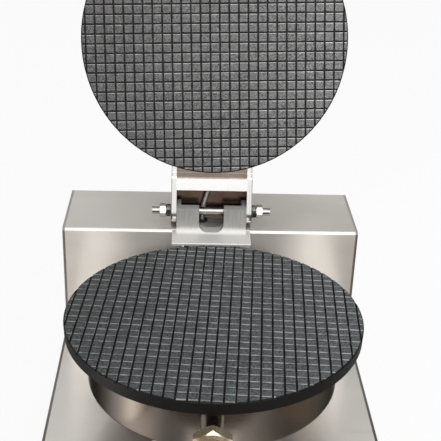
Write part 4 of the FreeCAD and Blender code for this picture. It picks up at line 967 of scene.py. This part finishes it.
shape = bmesh.new()
section = [(ring_inner, -mark_half), (ring_outer, -mark_half),
           (ring_outer, mark_half), (ring_inner, mark_half)]
spin_outline(shape, [(r, 0, h) for r, h in section], (0, 0, 0), (0, 0, 1), steps=32)
bmesh.ops.transform(shape, matrix=on_rocker(mark_reach), verts=shape.verts)
bmesh.ops.create_cube(shape, size=1.0, matrix=on_rocker(-mark_reach) @ Matrix.Diagonal(stroke_size))
bmesh.ops.recalc_face_normals(shape, faces=shape.faces)
rocker_marks = new_piece("rocker_marks", shape, white_paint)
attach(rocker_marks, "rocker")
print("rocker marks with", len(rocker_marks.data.polygons), "faces")

# %% [markdown]
# A lamp has a chromed bezel round its lens, a turned ring with a chamfered front. Its outline of six points
# is spun round the lamp's axis in the same way.

# %% Lamp bezels
bezel_outline = [(5.7, 0.0), (7.6, 0.0), (7.6, -1.3), (7.0, -2.0), (6.1, -2.0), (5.7, -1.6)]
for name, lamp in (("power_lamp_bezel", "power_lamp"), ("heat_lamp_bezel", "heat_lamp")):
    low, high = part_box(lamp)
    middle = Vector(((low.x + high.x) / 2, panel_face, (low.z + high.z) / 2))
    shape = bmesh.new()
    outline = [middle + Vector((r, y, 0)) * mm for r, y in bezel_outline]
    spin_outline(shape, outline, middle, (0, 1, 0), steps=48)
    bmesh.ops.recalc_face_normals(shape, faces=shape.faces)
    bezel = new_piece(name, shape, chrome)
    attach(bezel, "base")
    print(name, "with", len(bezel.data.polygons), "faces")

# %% [markdown]
# ## Who wears what
# Most pieces take the finish of their material slot in the model's record. The few that differ from their
# neighbours, or that need a finish laid out on their own axes, are named one by one.

# %% Give each piece its finish
finish_of = {
    "lower_plate": lower_coat,
    "upper_plate": upper_coat,
    "left_side_panel": side_steel,
    "right_side_panel": side_steel,
    "lower_pan": lower_pan_steel,
    "upper_pan": upper_pan_steel,
    "lower_neck": lower_stem,
    "upper_neck": upper_stem,
}
by_slot = {
    "panel_steel": sheet_steel,
    "pan_steel": sheet_steel,
    "hinge_casting": casting,
    "arm_steel": polished_arm,
    "fastener": zinc,
    "stem_steel": zinc,
    "hex_brass": plated_brass,
    "heater_sheath": sheath,
    "fibre": wool,
    "ceramic": ceramic,
    "lead_braid": braid,
    "copper": copper,
    "rubber": rubber,
    "grip": phenolic,
    "knob": phenolic,
    "control_case": satin_abs,
    "switch_case": satin_abs,
    "rocker": gloss_nylon,
    "power_lens": red_lens,
    "heat_lens": amber_lens,
}
slot_of = {part["node"]: part["material_slot"] for part in frame["record"]["subparts"]}
for name, piece in nodes.items():
    finish = finish_of.get(name) or by_slot[slot_of[name]]
    piece.data.materials.clear()
    piece.data.materials.append(finish)
print("finishes on", len(nodes), "pieces")
